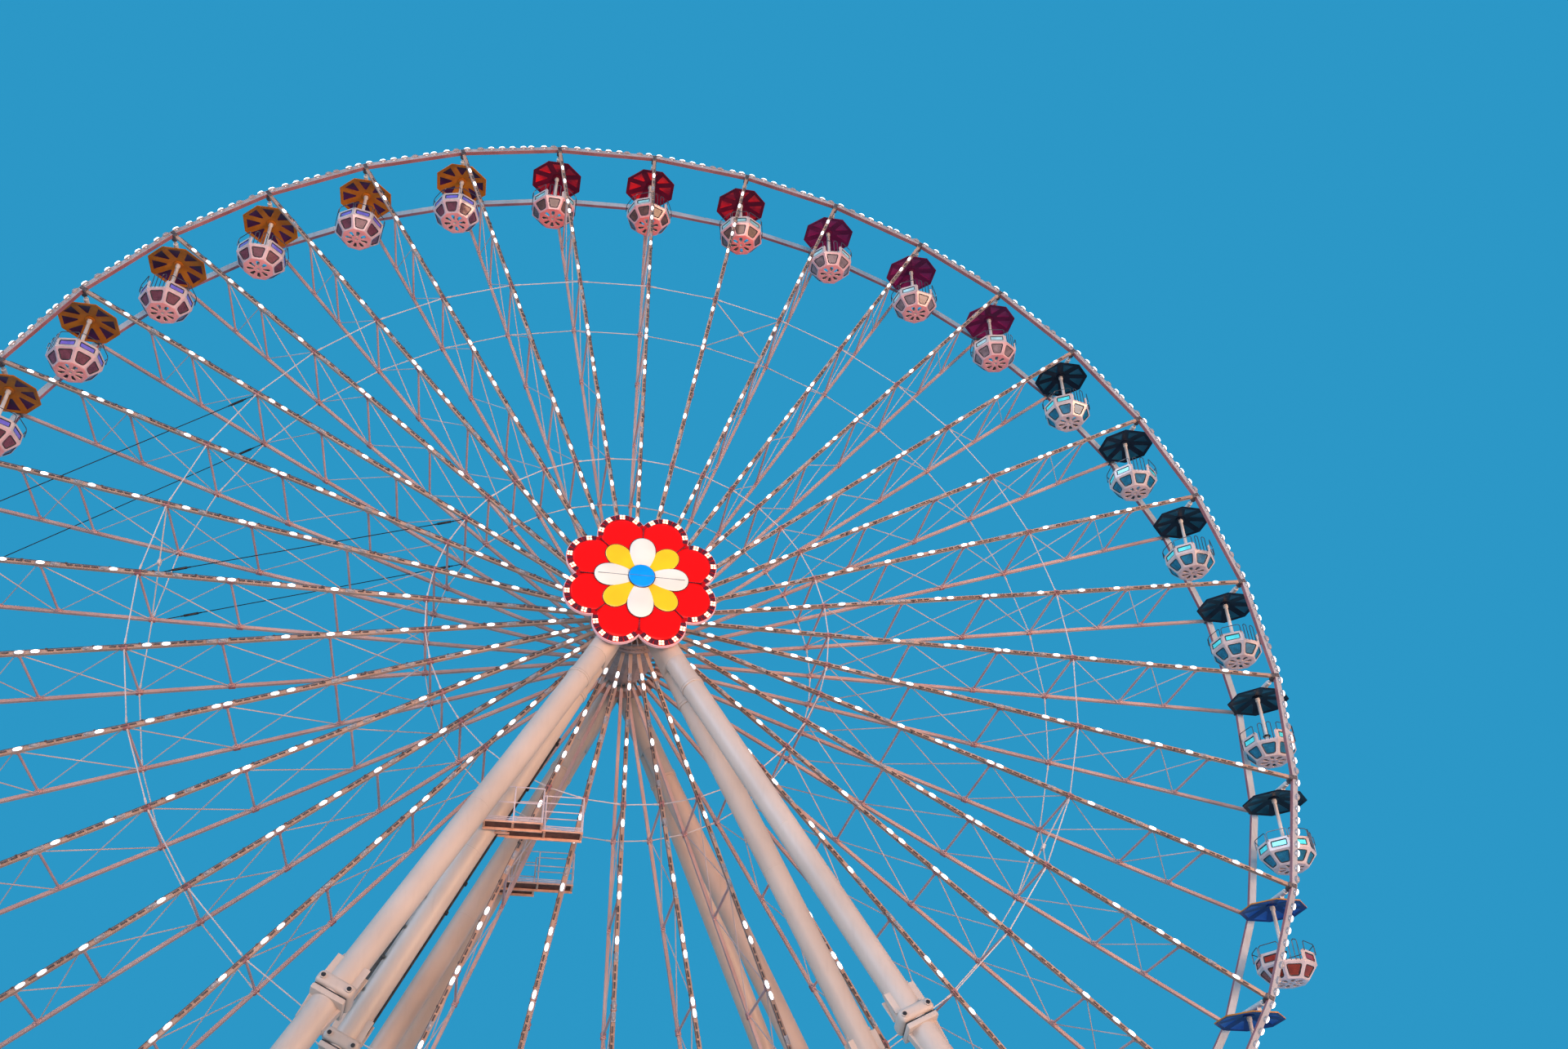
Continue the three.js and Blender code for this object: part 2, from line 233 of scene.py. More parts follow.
def spin_copies(thing, count=spoke_count):
    """Repeats a piece round the axle, which runs along Y through the origin while pieces are made"""
    clear_selection()
    bpy.ops.object.empty_add(location=(0, 0, 0), rotation=(0, 2 * math.pi / count, 0))
    pivot = bpy.context.object
    bpy.context.view_layer.update()
    shaped(thing, "ARRAY", count=count, use_relative_offset=False, use_object_offset=True,
           offset_object=pivot)
    bpy.data.objects.remove(pivot)
    return thing


clamp_iron = enamel("clamp_iron", (0.10, 0.075, 0.075), (0.17, 0.135, 0.13), shine=0.5, grain=90, size=9,
                    metal=0.3)
clamp_parts = []
for side in (-1, 1):
    clamp_parts.append(block((0.086, 0.096, 0.142), (0, side * rim_y, rim_radius - 0.010), edge=0.010))
    clamp_parts.append(ring_tube(0.052, 0.030, 0.078, (0, side * (rim_y - 0.082), rim_radius)))
    clamp_parts.append(drum(0.024, 0.012, (0, side * (rim_y + 0.052), rim_radius), sides=12, edge=0.003))
    for x in (-0.026, 0.026):
        for z in (-0.060, 0.036):
            clamp_parts.append(drum(0.009, 0.012, (x, side * (rim_y + 0.050), rim_radius + z), sides=6))
clamps = spin_copies(weld(*clamp_parts))
dress(clamps, "rim_node_clamps", "wheel", "dark_rubber", clamp_iron, smooth=35)

# Lamps on the front rim. Oval frosted lenses in shallow housings are screwed along the outer edge of every
# beam, nine to a beam. Most are lit white, and a few are out.
chance = random.Random(36)
step = 2 * math.pi / spoke_count
lamps_per_beam = 9


def lamp_glass(name, colour, strength, cloud=30, mirror=0.5):
    """A lit lens: frosted plastic that glows, in tones that vary a little"""
    material, shader, add, feed = new_finish(name)
    place = add("TexCoord", {}).outputs["Object"]
    tone = mottle(add, place, cloud, tuple(0.9 * c for c in colour), colour, detail=1)
    feed(shader, {"Base Color": tone, "Emission Color": tone, "Emission Strength": strength,
                  "Roughness": 0.3, "Specular IOR Level": mirror})
    return material


glow_white = lamp_glass("lit_white_lens", (1.0, 0.97, 0.96), 2.6)
dull_lens = enamel("unlit_lens", (0.30, 0.25, 0.24), (0.42, 0.36, 0.34), shine=0.25, grain=200, size=20)
lamp_housing = enamel("lamp_housing", (0.36, 0.29, 0.28), (0.48, 0.40, 0.38), shine=0.4, grain=120, size=20)


def lens(place, along, outward, length, width, rise, segments=8, rings=5):
    """An oval lens whose long side lies along one direction and whose crown looks outward"""
    clear_selection()
    bpy.ops.mesh.primitive_uv_sphere_add(segments=segments, ring_count=rings, radius=1)
    thing = bpy.context.object
    along = Vector(along).normalized()
    outward = Vector(outward).normalized()
    across = outward.cross(along)
    frame_of_lens = Matrix((along, across, outward)).transposed().to_4x4()
    thing.matrix_world = (Matrix.Translation(Vector(place)) @ frame_of_lens
                          @ Matrix.Diagonal((length / 2, width / 2, rise, 1)))
    return thing


def around(angle, reach, y=0.0):
    """A place on a circle round the axle, at an angle clockwise from the top"""
    return Vector((math.sin(angle) * reach, y, math.cos(angle) * reach))


beam_start = around(0, rim_radius + rim_half)
beam_end = around(step, 1) * (rim_radius + rim_half)
beam_out = around(step / 2, 1)
beam_along = (beam_end - beam_start).normalized()
lamp_y = -rim_y - rim_width["front"] / 2 - 0.002
lamp_tilt = beam_out + Vector((0, -0.8, 0))


def lamp_rows(places, unlit, make):
    """Four rows of lamps, each with its own lamps out and each on every fourth spoke or beam"""
    lit, dull = [], []
    for row in range(4):
        out = chance.sample(range(len(places)), unlit)
        groups = ([make(place) for number, place in enumerate(places) if number not in out],
                  [make(places[number]) for number in out])
        for group, rows in zip(groups, (lit, dull)):
            strip = weld(*group)
            strip.data.transform(Matrix.Rotation(row * step, 4, "Y"))
            rows.append(spin_copies(strip, spoke_count // 4))
    return weld(*lit), weld(*dull)


def rim_lens(place):
    return lens(place, beam_along, lamp_tilt, 0.125, 0.058, 0.032)


beam_lamps = []
housings = []
for i in range(lamps_per_beam):
    share = (i + 0.5 + chance.uniform(-0.16, 0.16)) / lamps_per_beam
    place = beam_start.lerp(beam_end, share) + Vector((0, lamp_y, 0))
    beam_lamps.append(place + beam_out * 0.002)
    housings.append(lens(place - beam_out * 0.004, beam_along, lamp_tilt, 0.145, 0.074, 0.020))
lit, dull = lamp_rows(beam_lamps, 2, rim_lens)
dress(lit, "rim_lamp_lenses", "wheel", "lamp_white", glow_white, smooth=60)
dress(dull, "rim_dull_lenses", "wheel", "lamp_white", dull_lens, smooth=60)
rim_housings = spin_copies(weld(*housings))
dress(rim_housings, "rim_lamp_housings", "wheel", "white_steel", lamp_housing)

# Spoke chords. 36 square tubes on each side of the wheel run from the hub flange to the rim.
# The front ones are a dusty brown rose, the rear ones a paler pink, both painted and rain marked.
front_chord_paint = enamel("front_chord_paint", (0.42, 0.235, 0.155), (0.56, 0.34, 0.24), size=1.2,
                           streaks=0.35)
rear_chord_paint = enamel("rear_chord_paint", (0.48, 0.265, 0.22), (0.60, 0.37, 0.31), size=1.2)
chord_start = 0.55
chord_depth = 0.060
chord_width = {"front": 0.060, "rear": 0.052}
for end, side, paint in (("front", -1, front_chord_paint), ("rear", 1, rear_chord_paint)):
    size = (chord_width[end], chord_depth, rim_radius - chord_start)
    chord = block(size, (0, side * rim_y, (rim_radius + chord_start) / 2), edge=0.004)
    chords = dress(spin_copies(weld(chord)), f"chords_{end}", "wheel", "white_steel", paint)
    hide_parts(f"spokes_{end}")

# Lamps on the front chords. Oval lenses sit in uneven pairs along each chord's front face, and about a
# third are out. Between them runs a dark flat cable duct in short lengths, with a cable beside it.
def rod(a, b, radius, sides=8):
    """A round bar from a to b"""
    a, b = Vector(a), Vector(b)
    clear_selection()
    turn = (b - a).to_track_quat("Z", "Y").to_euler()
    bpy.ops.mesh.primitive_cylinder_add(vertices=sides, radius=radius, depth=(b - a).length,
                                        location=(a + b) / 2, rotation=turn)
    return bpy.context.object


chord_face = -rim_y - chord_depth / 2
chord_lamps = []
ducts = []
housings = []
for i in range(12):
    for shift in (0.09, 0.117):
        reach = (shift + 0.075 * i + chance.uniform(-0.009, 0.009)) * rim_radius
        if reach < 0.965 * rim_radius:
            chord_lamps.append(Vector((0, chord_face - 0.010, reach)))
            housings.append(block((0.060, 0.012, 0.135), (0, chord_face - 0.005, reach), edge=0.004))
duct_y = chord_face - 0.006
duct_end = 0.97 * rim_radius
duct_pitch = 0.118
cable_x = 0.032
clip_pitch = 0.62
reach = 1.05
while reach < duct_end:
    if min(abs(reach - place.z) for place in chord_lamps) > 0.105:
        ducts.append(block((0.020, 0.014, 0.088), (0.004, duct_y, reach), edge=0.002))
    reach += duct_pitch
reach = 1.1
while reach < duct_end:
    ducts.append(block((0.020, 0.022, 0.030), (cable_x, duct_y, reach)))
    reach += clip_pitch
ducts.append(rod((cable_x, duct_y, 0.95), (cable_x, duct_y, 0.985 * rim_radius), 0.005, sides=6))


def chord_lens(place):
    return lens(place, (0, 0, 1), (0, -1, 0), 0.125, 0.056, 0.030)


lit, dull = lamp_rows(chord_lamps, 8, chord_lens)
dress(lit, "chord_lamp_lenses", "wheel", "lamp_white", glow_white, smooth=60)
dress(dull, "chord_dull_lenses", "wheel", "lamp_white", dull_lens, smooth=60)
chord_housings = spin_copies(weld(*housings))
dress(chord_housings, "chord_lamp_housings", "wheel", "white_steel", lamp_housing)
duct_brown = enamel("cable_duct", (0.060, 0.040, 0.036), (0.12, 0.085, 0.075), shine=0.5, size=9)
dress(spin_copies(weld(*ducts)), "chord_lamp_cable", "wheel", "dark_cable", duct_brown)

# Lattice of each spoke. Round rungs join the front and the rear chord, and two thin rods cross in each bay.
# Every rung ends in a small bolted shoe on the chord's inner face.
outer_tie, inner_tie = 0.668, 0.288
rung_places = [share * rim_radius for share in (0.87, 0.792, outer_tie, 0.549, 0.413, inner_tie)]
inner_face = rim_y - chord_depth / 2
rungs = []
for reach in rung_places:
    rungs.append(rod((0, -inner_face, reach), (0, inner_face, reach), 0.019, sides=10))
    for side in (-1, 1):
        rungs.append(block((0.062, 0.016, 0.10), (0, side * (inner_face - 0.008), reach), edge=0.004))
        rungs.append(drum(0.03, 0.05, (0, side * (inner_face - 0.03), reach), sides=10))
rods = []
for outer, inner in zip(rung_places, rung_places[1:]):
    for side in (-1, 1):
        rods.append(rod((0.012 * side, side * (inner_face - 0.02), outer - 0.045),
                        (0.012 * side, -side * (inner_face - 0.02), inner + 0.045), 0.009, sides=6))
rung_paint = enamel("rung_paint", (0.52, 0.26, 0.235), (0.66, 0.38, 0.345), size=1.5)
rod_paint = enamel("rod_paint", (0.50, 0.38, 0.36), (0.64, 0.51, 0.48), size=1.5, streaks=0.1)
rungs = dress(spin_copies(weld(*rungs)), "spoke_rungs", "wheel", "white_steel", rung_paint, smooth=40)
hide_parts("truss_webs_1", "truss_webs_2", "truss_webs_3", "truss_webs_4")
rods = dress(spin_copies(weld(*rods)), "spoke_cross_rods", "wheel", "white_steel", rod_paint, smooth=40)

# Node plates. Dark red gusset plates are clamped round both chords on three radii, by two bolts on either
# side of each. The tie rods meet the outermost and the innermost of them.
tie_places = (rung_places[2], rung_places[5])
plates = []
for reach in tie_places + (rung_places[3],):
    for side in (-1, 1):
        plates.append(block((0.074, 0.068, 0.100), (0, side * rim_y, reach), edge=0.005))
        for x in (-0.038, 0.038):
            plates.append(drum(0.010, 0.012, (x, side * rim_y, reach + 0.030), axis="X", sides=6))
            plates.append(drum(0.010, 0.012, (x, side * rim_y, reach - 0.030), axis="X", sides=6))
plate_paint = enamel("node_plate_paint", (0.30, 0.10, 0.09), (0.44, 0.19, 0.17), size=4)
dress(spin_copies(weld(*plates)), "node_plates", "wheel", "white_steel", plate_paint)

# Tie rods. Thin straight steel rods run from spoke to spoke on two radii, front and rear, and a thicker
# fork at each end pins them to the node plates.
ties = []
for reach in tie_places:
    for side in (-1, 1):
        start = Vector((0, side * rim_y, reach))
        end = around(step, reach, side * rim_y)
        ties.append(rod(start, end, 0.0095, sides=8))
        for share in (0.055, 0.945):
            at = start.lerp(end, share)
            ties.append(rod(at, at + (end - start).normalized() * 0.08, 0.016, sides=8))
tie_paint = enamel("tie_paint", (0.54, 0.44, 0.41), (0.68, 0.57, 0.53), size=1.5, streaks=0.1)
dress(spin_copies(weld(*ties)), "tie_rods", "wheel", "white_steel", tie_paint, smooth=40)

# Cross bracings. In four sectors thin steel rods cross from the front chord of one spoke to the rear chord
# of the next, through a small block where they meet.
def on_wheel(degrees, share, y):
    """A place on the wheel, by its angle and its share of the rim's radius"""
    return around(math.radians(degrees), share * rim_radius, y)


braces = []
for first in (10, 110, 190, 270):
    for side in (-1, 1):
        apart = Vector((0, 0, 0.01 * side))
        a = on_wheel(first, outer_tie, -side * inner_face) + apart
        b = on_wheel(first + 10, outer_tie, side * inner_face) + apart
        braces.append(rod(a, b, 0.011, sides=8))
    middle = on_wheel(first + 5, outer_tie * math.cos(step / 2), 0)
    turn = (0, math.radians(first + 5), 0)
    braces.append(block((0.10, 0.10, 0.05), middle, turn=turn, edge=0.01))
dress(weld(*braces), "cross_braces", "wheel", "white_steel", tie_paint, smooth=40)

# Tension cables. Four dark wire ropes stiffen one sector on the left, two in front and two behind. Each
# has a turnbuckle near both ends.
ropes = []
for side in (-1, 1):
    y = side * (rim_y - 0.02)
    for start, end in ((on_wheel(-60, outer_tie, y), on_wheel(-90, 0.985, y)),
                       (on_wheel(-60, inner_tie, y), on_wheel(-90, 0.655, y))):
        way = (end - start).normalized()
        ropes.append(rod(start, end, 0.008, sides=6))
        for place in (start + way * 0.25, end - way * 0.55):
            ropes.append(rod(place, place + way * 0.22, 0.02, sides=8))
            ropes.append(rod(place - way * 0.05, place + way * 0.27, 0.012, sides=6))
cable_steel = enamel("cable_steel", (0.010, 0.010, 0.012), (0.035, 0.033, 0.034), shine=0.45, grain=160,
                     size=12, metal=0.6)
dress(weld(*ropes), "tension_cables", "wheel", "dark_cable", cable_steel, smooth=40)

# Hub. A drum between two round flanges carries the chords on a solid shaft. Bolts ring each flange,
# ribs stiffen it, and the shaft turns in the two bearing heads.
def finish_node(name, material):
    """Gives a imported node, whose shape is right as it is, its real finish"""
    node = frame["nodes"][name]
    for slot in node.material_slots:
        slot.material = material


hub_paint = enamel("hub_paint", (0.30, 0.20, 0.17), (0.44, 0.30, 0.26), size=3, streaks=0.45)
shaft_steel = enamel("shaft_steel", (0.22, 0.22, 0.23), (0.42, 0.42, 0.43), shine=0.32, grain=200, size=8,
                     metal=0.85)
finish_node("hub_drum", hub_paint)
finish_node("axle", shaft_steel)
hub_parts = []
flange_half = 0.0395
bolt_ring = 0.64
for side in (-1, 1):
    face = side * (rim_y + flange_half)
    hub_parts.append(ring_tube(0.70, 0.58, 0.03, (0, face + side * 0.014, 0), sides=72))
    hub_parts.append(ring_tube(0.40, 0.262, 0.10, (0, face + side * 0.05, 0), sides=48))
dress(weld(*hub_parts), "hub_rings", "wheel", "white_steel", hub_paint, smooth=30)
bolt_parts = []
for side in (-1, 1):
    face = side * (rim_y + flange_half + 0.036)
    for angle in (0, step / 2):
        bolt_parts.append(drum(0.017, 0.018, around(angle, bolt_ring, face), sides=6))
    bolt_parts.append(block((0.016, 0.075, 0.19), (0, face + side * 0.001, 0.485), edge=0.003))
dress(spin_copies(weld(*bolt_parts)), "hub_bolts", "wheel", "machined_steel", hub_paint)

# Legs. Eight smooth cream tubes stand on square foot plates, four under each bearing head.
# Each bolts to a stub of the head and has a pinned coupling halfway, where it folds for the road.
head_side = 0.169
head_y = 1.294
head_drop = 0.394
leg_radius = 0.169
stub_length = 1.56
coupling_places = {"outer": 7.62, "inner": 7.40}
leg_paint = enamel("leg_paint", (0.50, 0.385, 0.31), (0.60, 0.47, 0.385), shine=0.42, grain=60, size=0.7,
                   streaks=0.08)
# The rear legs take a lighter, warmer copy of the leg paint: painted light for the shade they stand in.
rear_leg_tone_with_painted_light = enamel("rear_leg_tone_with_painted_light", (0.60, 0.39, 0.28), (0.70, 0.48, 0.36), shine=0.42, grain=60,
                        size=0.7, streaks=0.08)
dark_iron = enamel("dark_iron", (0.020, 0.020, 0.022), (0.055, 0.050, 0.050), shine=0.5, grain=90, size=9,
                   metal=0.5)


def leg_line(side, face, foot):
    """The top of a leg, the way down it, and its length, from the middle of the hub"""
    top = Vector((side * head_side, face * head_y, -head_drop))
    bottom = Vector((side * foot[0], face * foot[1], -hub.z))
    return top, (bottom - top).normalized(), (bottom - top).length


def stand_along(thing, face, top, down):
    """Lays a piece made along +Z from the origin down the leg, with its -Y side to the outside"""
    outward = Vector((0, face, 0))
    outward = (outward - down * outward.dot(down)).normalized()
    across = (-outward).cross(down)
    thing.matrix_world = Matrix.Translation(top) @ Matrix((across, -outward, down)).transposed().to_4x4()
    return weld(thing)


def fin(side, start, reach, height, thickness):
    """A tapered web plate on one side of a tube, highest at its start"""
    middle = (side * (leg_radius + height / 2 - 0.01), 0, start + reach / 2)
    plate = weld(block((height, thickness, abs(reach)), middle))
    for corner in plate.data.vertices:
        if abs(corner.co.z - start) > abs(reach) / 2 and abs(corner.co.x) > leg_radius:
            corner.co.x = side * (leg_radius + 0.002)
    return plate


def leave():
    """Back from edit mode"""
    bpy.ops.object.mode_set(mode="OBJECT")


lean_foot = (6.602, 5.209)
plane_foot = (6.555, 1.35)
leg_kinds = {"outer": lean_foot, "inner": plane_foot}
inside_foot = 0.03 - hub.z
seam_places = (4.4, 10.2, 12.6)
hinge_x = 0.168


def twin(model):
    """A copy with a mesh of its own"""
    copy = model.copy()
    copy.data = model.data.copy()
    bpy.context.collection.objects.link(copy)
    return copy


foot_parts = [block((0.72, 0.72, 0.07), (0, 0, 0.035), edge=0.008)]
for i in range(8):
    angle = i * math.pi / 4 + math.pi / 8
    at = Vector((math.cos(angle), math.sin(angle), 0))
    foot_parts.append(block((0.24, 0.018, 0.20), at * 0.24 + Vector((0, 0, 0.16)), turn=(0, 0, angle)))
for x in (-0.30, 0, 0.30):
    for y in (-0.30, 0, 0.30):
        if x or y:
            foot_parts.append(drum(0.026, 0.05, (x, y, 0.085), axis="Z", sides=6))
foot_model = weld(*foot_parts)
for kind, foot in leg_kinds.items():
    length = leg_line(1, 1, foot)[2]
    coupling_place = coupling_places[kind]
    start = stub_length + 0.001
    parts = [drum(leg_radius, length - start + 0.02, (0, 0, (length + start) / 2), axis="Z", sides=48)]
    parts.append(drum(leg_radius + 0.012, 0.040, (0, 0, start + 0.020), axis="Z", sides=48, edge=0.005))
    for seam in seam_places:
        parts.append(drum(leg_radius + 0.002, 0.014, (0, 0, seam), axis="Z", sides=48, edge=0.003))
    parts.append(block((0.47, 0.40, 0.17), (0, 0, coupling_place - 0.10), edge=0.06, segments=4))
    parts.append(block((0.43, 0.37, 0.075), (0, 0, coupling_place + 0.045), edge=0.02, segments=2))
    pins = [block((0.405, 0.345, 0.012), (0, 0, coupling_place + 0.0015))]
    for hinge in (-1, 1):
        parts.append(fin(hinge, coupling_place - 0.17, -0.36, 0.055, 0.10))
        parts.append(fin(hinge, coupling_place + 0.08, 0.30, 0.045, 0.10))
        parts.append(ring_tube(0.040, 0.027, 0.43, (hinge * hinge_x, 0, coupling_place - 0.10), sides=16))
        parts.append(drum(0.026, 0.05, (hinge * 0.10, 0, coupling_place + 0.10), axis="Z", sides=12))
        for y in (-0.10, 0.10):
            parts.append(block((0.10, 0.012, 0.28), (hinge * 0.165, y, coupling_place - 0.33), edge=0.004))
        pins.append(drum(0.027, 0.45, (hinge * hinge_x, 0, coupling_place - 0.10), sides=16, edge=0.005))
        pins.append(block((0.012, 0.46, 0.012), (hinge * hinge_x, 0, coupling_place - 0.10)))
    tube_model = weld(*parts)
    pin_model = weld(*pins)
    for end, face in (("front", -1), ("rear", 1)):
        for hand, side in (("left", -1), ("right", 1)):
            name = f"leg_{end}_{hand}_{kind}"
            top, down, _ = leg_line(side, face, foot)
            foot_plate = twin(foot_model)
            foot_plate.location = (side * foot[0], face * foot[1], -hub.z)
            tube = stand_along(twin(tube_model), face, top, down)
            bpy.ops.object.mode_set(mode="EDIT")
            bpy.ops.mesh.select_all(action="SELECT")
            bpy.ops.mesh.bisect(plane_co=(0, 0, inside_foot), plane_no=(0, 0, 1), clear_inner=True,
                                use_fill=True)
            leave()
            leg = weld(tube, foot_plate)
            # The rear legs take the lighter copy, which is painted light.
            paint = leg_paint if end == "front" else rear_leg_tone_with_painted_light
            dress(leg, f"{name}_tube", "frame", "cream_steel", paint, smooth=35)
            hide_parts(name)
            pin = stand_along(twin(pin_model), face, top, down)
            dress(pin, f"{name}_pins", "frame", "dark_rubber", dark_iron, smooth=35)
    for model in (tube_model, pin_model):
        bpy.data.objects.remove(model)
bpy.data.objects.remove(foot_model)

# Bearing heads. Each is a round bearing housing with a bolted cover, carried by a wide welded casing
# on either side that gathers the stubs of two legs.
for end, face in (("front", -1), ("rear", 1)):
    parts = [drum(0.33, 0.37, (0, face * 1.315, 0), sides=56, edge=0.02, segments=2),
             ring_tube(0.29, 0.20, 0.03, (0, face * 1.513, 0), sides=48),
             drum(0.20, 0.02, (0, face * 1.508, 0), sides=40, edge=0.006)]
    for i in range(12):
        parts.append(drum(0.015, 0.02, around(i * math.pi / 6, 0.245, face * 1.536), sides=6))
    for side in (-1, 1):
        stubs = []
        for foot in (lean_foot, plane_foot):
            top, down, _ = leg_line(side, face, foot)
            stub_end = top + down * stub_length
            parts.append(rod(top - down * 0.1, stub_end - down * 0.02, leg_radius, sides=44))
            parts.append(rod(stub_end - down * 0.045, stub_end, leg_radius + 0.012, sides=44))
            stubs.append(rod(top - down * 0.169, top + down * 1.02, leg_radius + 0.006, sides=32))
        casing = weld(*stubs)
        bpy.ops.object.mode_set(mode="EDIT")
        bpy.ops.mesh.select_all(action="SELECT")
        bpy.ops.mesh.convex_hull()
        leave()
        parts.append(rounded(casing, 0.02, segments=2, angle=30))
    head = dress(weld(*parts), f"bearing_{end}", "frame", "cream_steel", leg_paint, smooth=35)
    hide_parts(f"head_{end}")

# Ladder and conduit. A dark ladder with a cable tray under it climbs the outer side of the front left leg
# that stands in the plane of the head, in two lengths that part at the coupling. A dark conduit with clamps
# runs down the leg's other side.
left, front = -1, -1
top, down, length = leg_line(left, front, plane_foot)
ladder_reach = 0.250
tray_reach = leg_radius + 0.036
rung_pitch = 0.15
ladder = []
for start, end in ((5.15, 6.98), (7.62, length - 0.65)):
    middle = (start + end) / 2
    for x in (-0.105, 0.105):
        ladder.append(block((0.018, 0.034, end - start), (x, -ladder_reach, middle), edge=0.003))
    ladder.append(block((0.010, 0.070, end - start), (0, -tray_reach, middle), edge=0.002))
    count = int((end - start) / rung_pitch)
    for i in range(count):
        place = start + (i + 0.5) * (end - start) / count
        ladder.append(drum(0.010, 0.21, (0, -ladder_reach, place), axis="X", sides=8))
        ladder.append(drum(0.013, 0.030, (0, -leg_radius - 0.045, place), axis="X", sides=6))
        if i % 3 == 0:
            for x in (-0.105, 0.105):
                ladder.append(block((0.012, 0.10, 0.035), (x, -0.205, place + 0.05), edge=0.002))
            ladder.append(block((0.23, 0.012, 0.05), (0, -leg_radius - 0.012, place + 0.05), edge=0.003))
ladder = stand_along(weld(*ladder), front, top, down)
ladder_swing = Matrix.Translation(top) @ Matrix.Rotation(math.radians(80), 4, down) @ Matrix.Translation(-top)
ladder.data.transform(ladder_swing)
ladder_grey = enamel("ladder_grey", (0.045, 0.048, 0.046), (0.12, 0.125, 0.12), shine=0.45, size=12,
                     metal=0.3)
dress(ladder, "leg_ladder", "frame", "dark_rubber", ladder_grey, smooth=40)
conduit = [drum(0.016, length - 2.6, (-0.182, 0.036, (length + 2.0) / 2), axis="Z", sides=10)]
for place in (2.4, 3.22, 4.82, 5.28, 7.9, 9.6, 11.4, 13.0):
    conduit.append(block((0.055, 0.05, 0.055), (-0.186, 0.037, place), edge=0.008))
conduit = stand_along(weld(*conduit), front, top, down)
dress(conduit, "leg_conduit", "frame", "dark_cable", cable_steel, smooth=40)

# Flower sign. A shallow box with eight round lobes stands before the front bearing. Each lobe is a domed
# red diffuser inside a dark red border with small square lamps. Dark seams part the lobes, and the box's
# side is pale pink.
sign_back = -1.77
sign_front = sign_back - 0.07
lobe_radius = 0.397
lobe_place = 0.843
lobe_angle = math.pi / 4
lamp_ring = lobe_radius - 0.055


def flower_plate(place, radius, from_y, to_y):
    """A flat box whose outline is eight round lobes that meet in notches"""
    plate = weld(drum(1, abs(from_y - to_y), (0, (from_y + to_y) / 2, 0), sides=192))
    for corner in plate.data.vertices:
        angle = math.atan2(corner.co.x, corner.co.z)
        off = (angle + math.pi) % lobe_angle - lobe_angle / 2
        reach = place * math.cos(off) + math.sqrt(radius ** 2 - (place * math.sin(off)) ** 2)
        corner.co = around(angle, reach, corner.co.y)
    return plate


def moulded(name, low, high, shine=0.22, glow=0.0, coat=0.4, size=5.0, mirror=0.5):
    """Glossy moulded plastic with faint clouds, fine scratches and a thin clear coat"""
    material, shader, add, feed = new_finish(name)
    place = add("TexCoord", {}).outputs["Object"]
    tone = mottle(add, place, size, low, high)
    scratch = add("TexNoise", {"Vector": place, "Scale": 60, "Detail": 6}).outputs["Fac"]
    gloss = add("MapRange", {"Value": scratch, "To Min": shine - 0.08, "To Max": shine + 0.16})
    bump = add("Bump", {"Height": scratch, "Strength": 0.06, "Distance": 0.003})
    feed(shader, {"Base Color": tone, "Roughness": gloss.outputs["Result"], "Normal": bump.outputs["Normal"],
                  "Coat Weight": coat, "Specular IOR Level": mirror})
    # A glow here is painted light, since no moulding that takes one is a lamp.
    if glow:
        feed(shader, {"Emission Color": tone, "Emission Strength": glow})
    return material


sign_red = lamp_glass("sign_red_diffuser", (0.80, 0.004, 0.004), 0.20, mirror=0.12)
sign_border = lamp_glass("sign_border_red", (0.46, 0.004, 0.006), 0.12, mirror=0.12)
border_dark = moulded("sign_border_maroon", (0.07, 0.003, 0.005), (0.13, 0.005, 0.008))
sign_pink = lamp_glass("sign_pink_side", (0.90, 0.46, 0.46), 0.20)
sign_dark = enamel("sign_back_grey", (0.10, 0.10, 0.11), (0.17, 0.17, 0.18), shine=0.5, size=4)
side_wall = flower_plate(lobe_place, lobe_radius, sign_back, sign_front + 0.012)
dress(side_wall, "sign_side", "frame", "sign_pink", sign_pink, smooth=25)
border = flower_plate(lobe_place, lobe_radius - 0.012, sign_front + 0.014, sign_front)
dress(border, "sign_border", "frame", "sign_red", sign_border, smooth=25)
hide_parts("rosette")
dome = lens(around(lobe_angle / 2, 0.785, sign_front + 0.004), (1, 0, 0), (0, -1, 0), 0.69, 0.69, 0.030,
            segments=48, rings=12)
domes = [spin_copies(weld(dome), 8)]
domes.append(lens((0, sign_front + 0.004, 0), (1, 0, 0), (0, -1, 0), 1.5, 1.5, 0.020, segments=48, rings=12))
dress(weld(*domes), "sign_lobes", "frame", "sign_red", sign_red, smooth=50)
lobe_seam = weld(block((0.014, 0.034, 0.25), (0, sign_front - 0.010, 0.815), edge=0.003))
dress(spin_copies(lobe_seam, 8), "sign_lobe_seams", "frame", "sign_red", border_dark)


def on_border(degrees, size):
    """A plate on the first lobe's border, with its angle and its place"""
    angle = lobe_angle / 2 + math.radians(degrees)
    place = around(lobe_angle / 2, lobe_place, sign_front) + around(angle, lamp_ring)
    return block(size, place, turn=(0, angle, 0), edge=0.004), angle, place


dark_size = (0.064, 0.012, 0.086)
dark_plates = [on_border(degrees, dark_size)[0] for degrees in (-70, -45, -32, -6.5, 6.5, 32, 45, 70)]
dress(spin_copies(weld(*dark_plates), 8), "sign_border_plates", "frame", "sign_red", border_dark)
lamp_plates = []
lamp_dots = []
half_pitch = 0.022
for degrees in (-57, -19, 19, 57):
    plate, angle, place = on_border(degrees, (0.096, 0.010, 0.092))
    lamp_plates.append(plate)
    for a in (-half_pitch, half_pitch):
        for b in (-half_pitch, half_pitch):
            spot = place + around(angle + math.pi / 2, a) + around(angle, b, -0.007)
            lamp_dots.append(block((0.036, 0.008, 0.036), spot, turn=(0, angle, 0), edge=0.006))
glow_warm = lamp_glass("warm_white_led", (1.0, 0.78, 0.52), 1.25)
dress(spin_copies(weld(*lamp_plates), 8), "sign_lamp_plates", "frame", "sign_red", sign_red)
dress(spin_copies(weld(*lamp_dots), 8), "sign_lamps", "frame", "lamp_white", glow_warm, smooth=60)
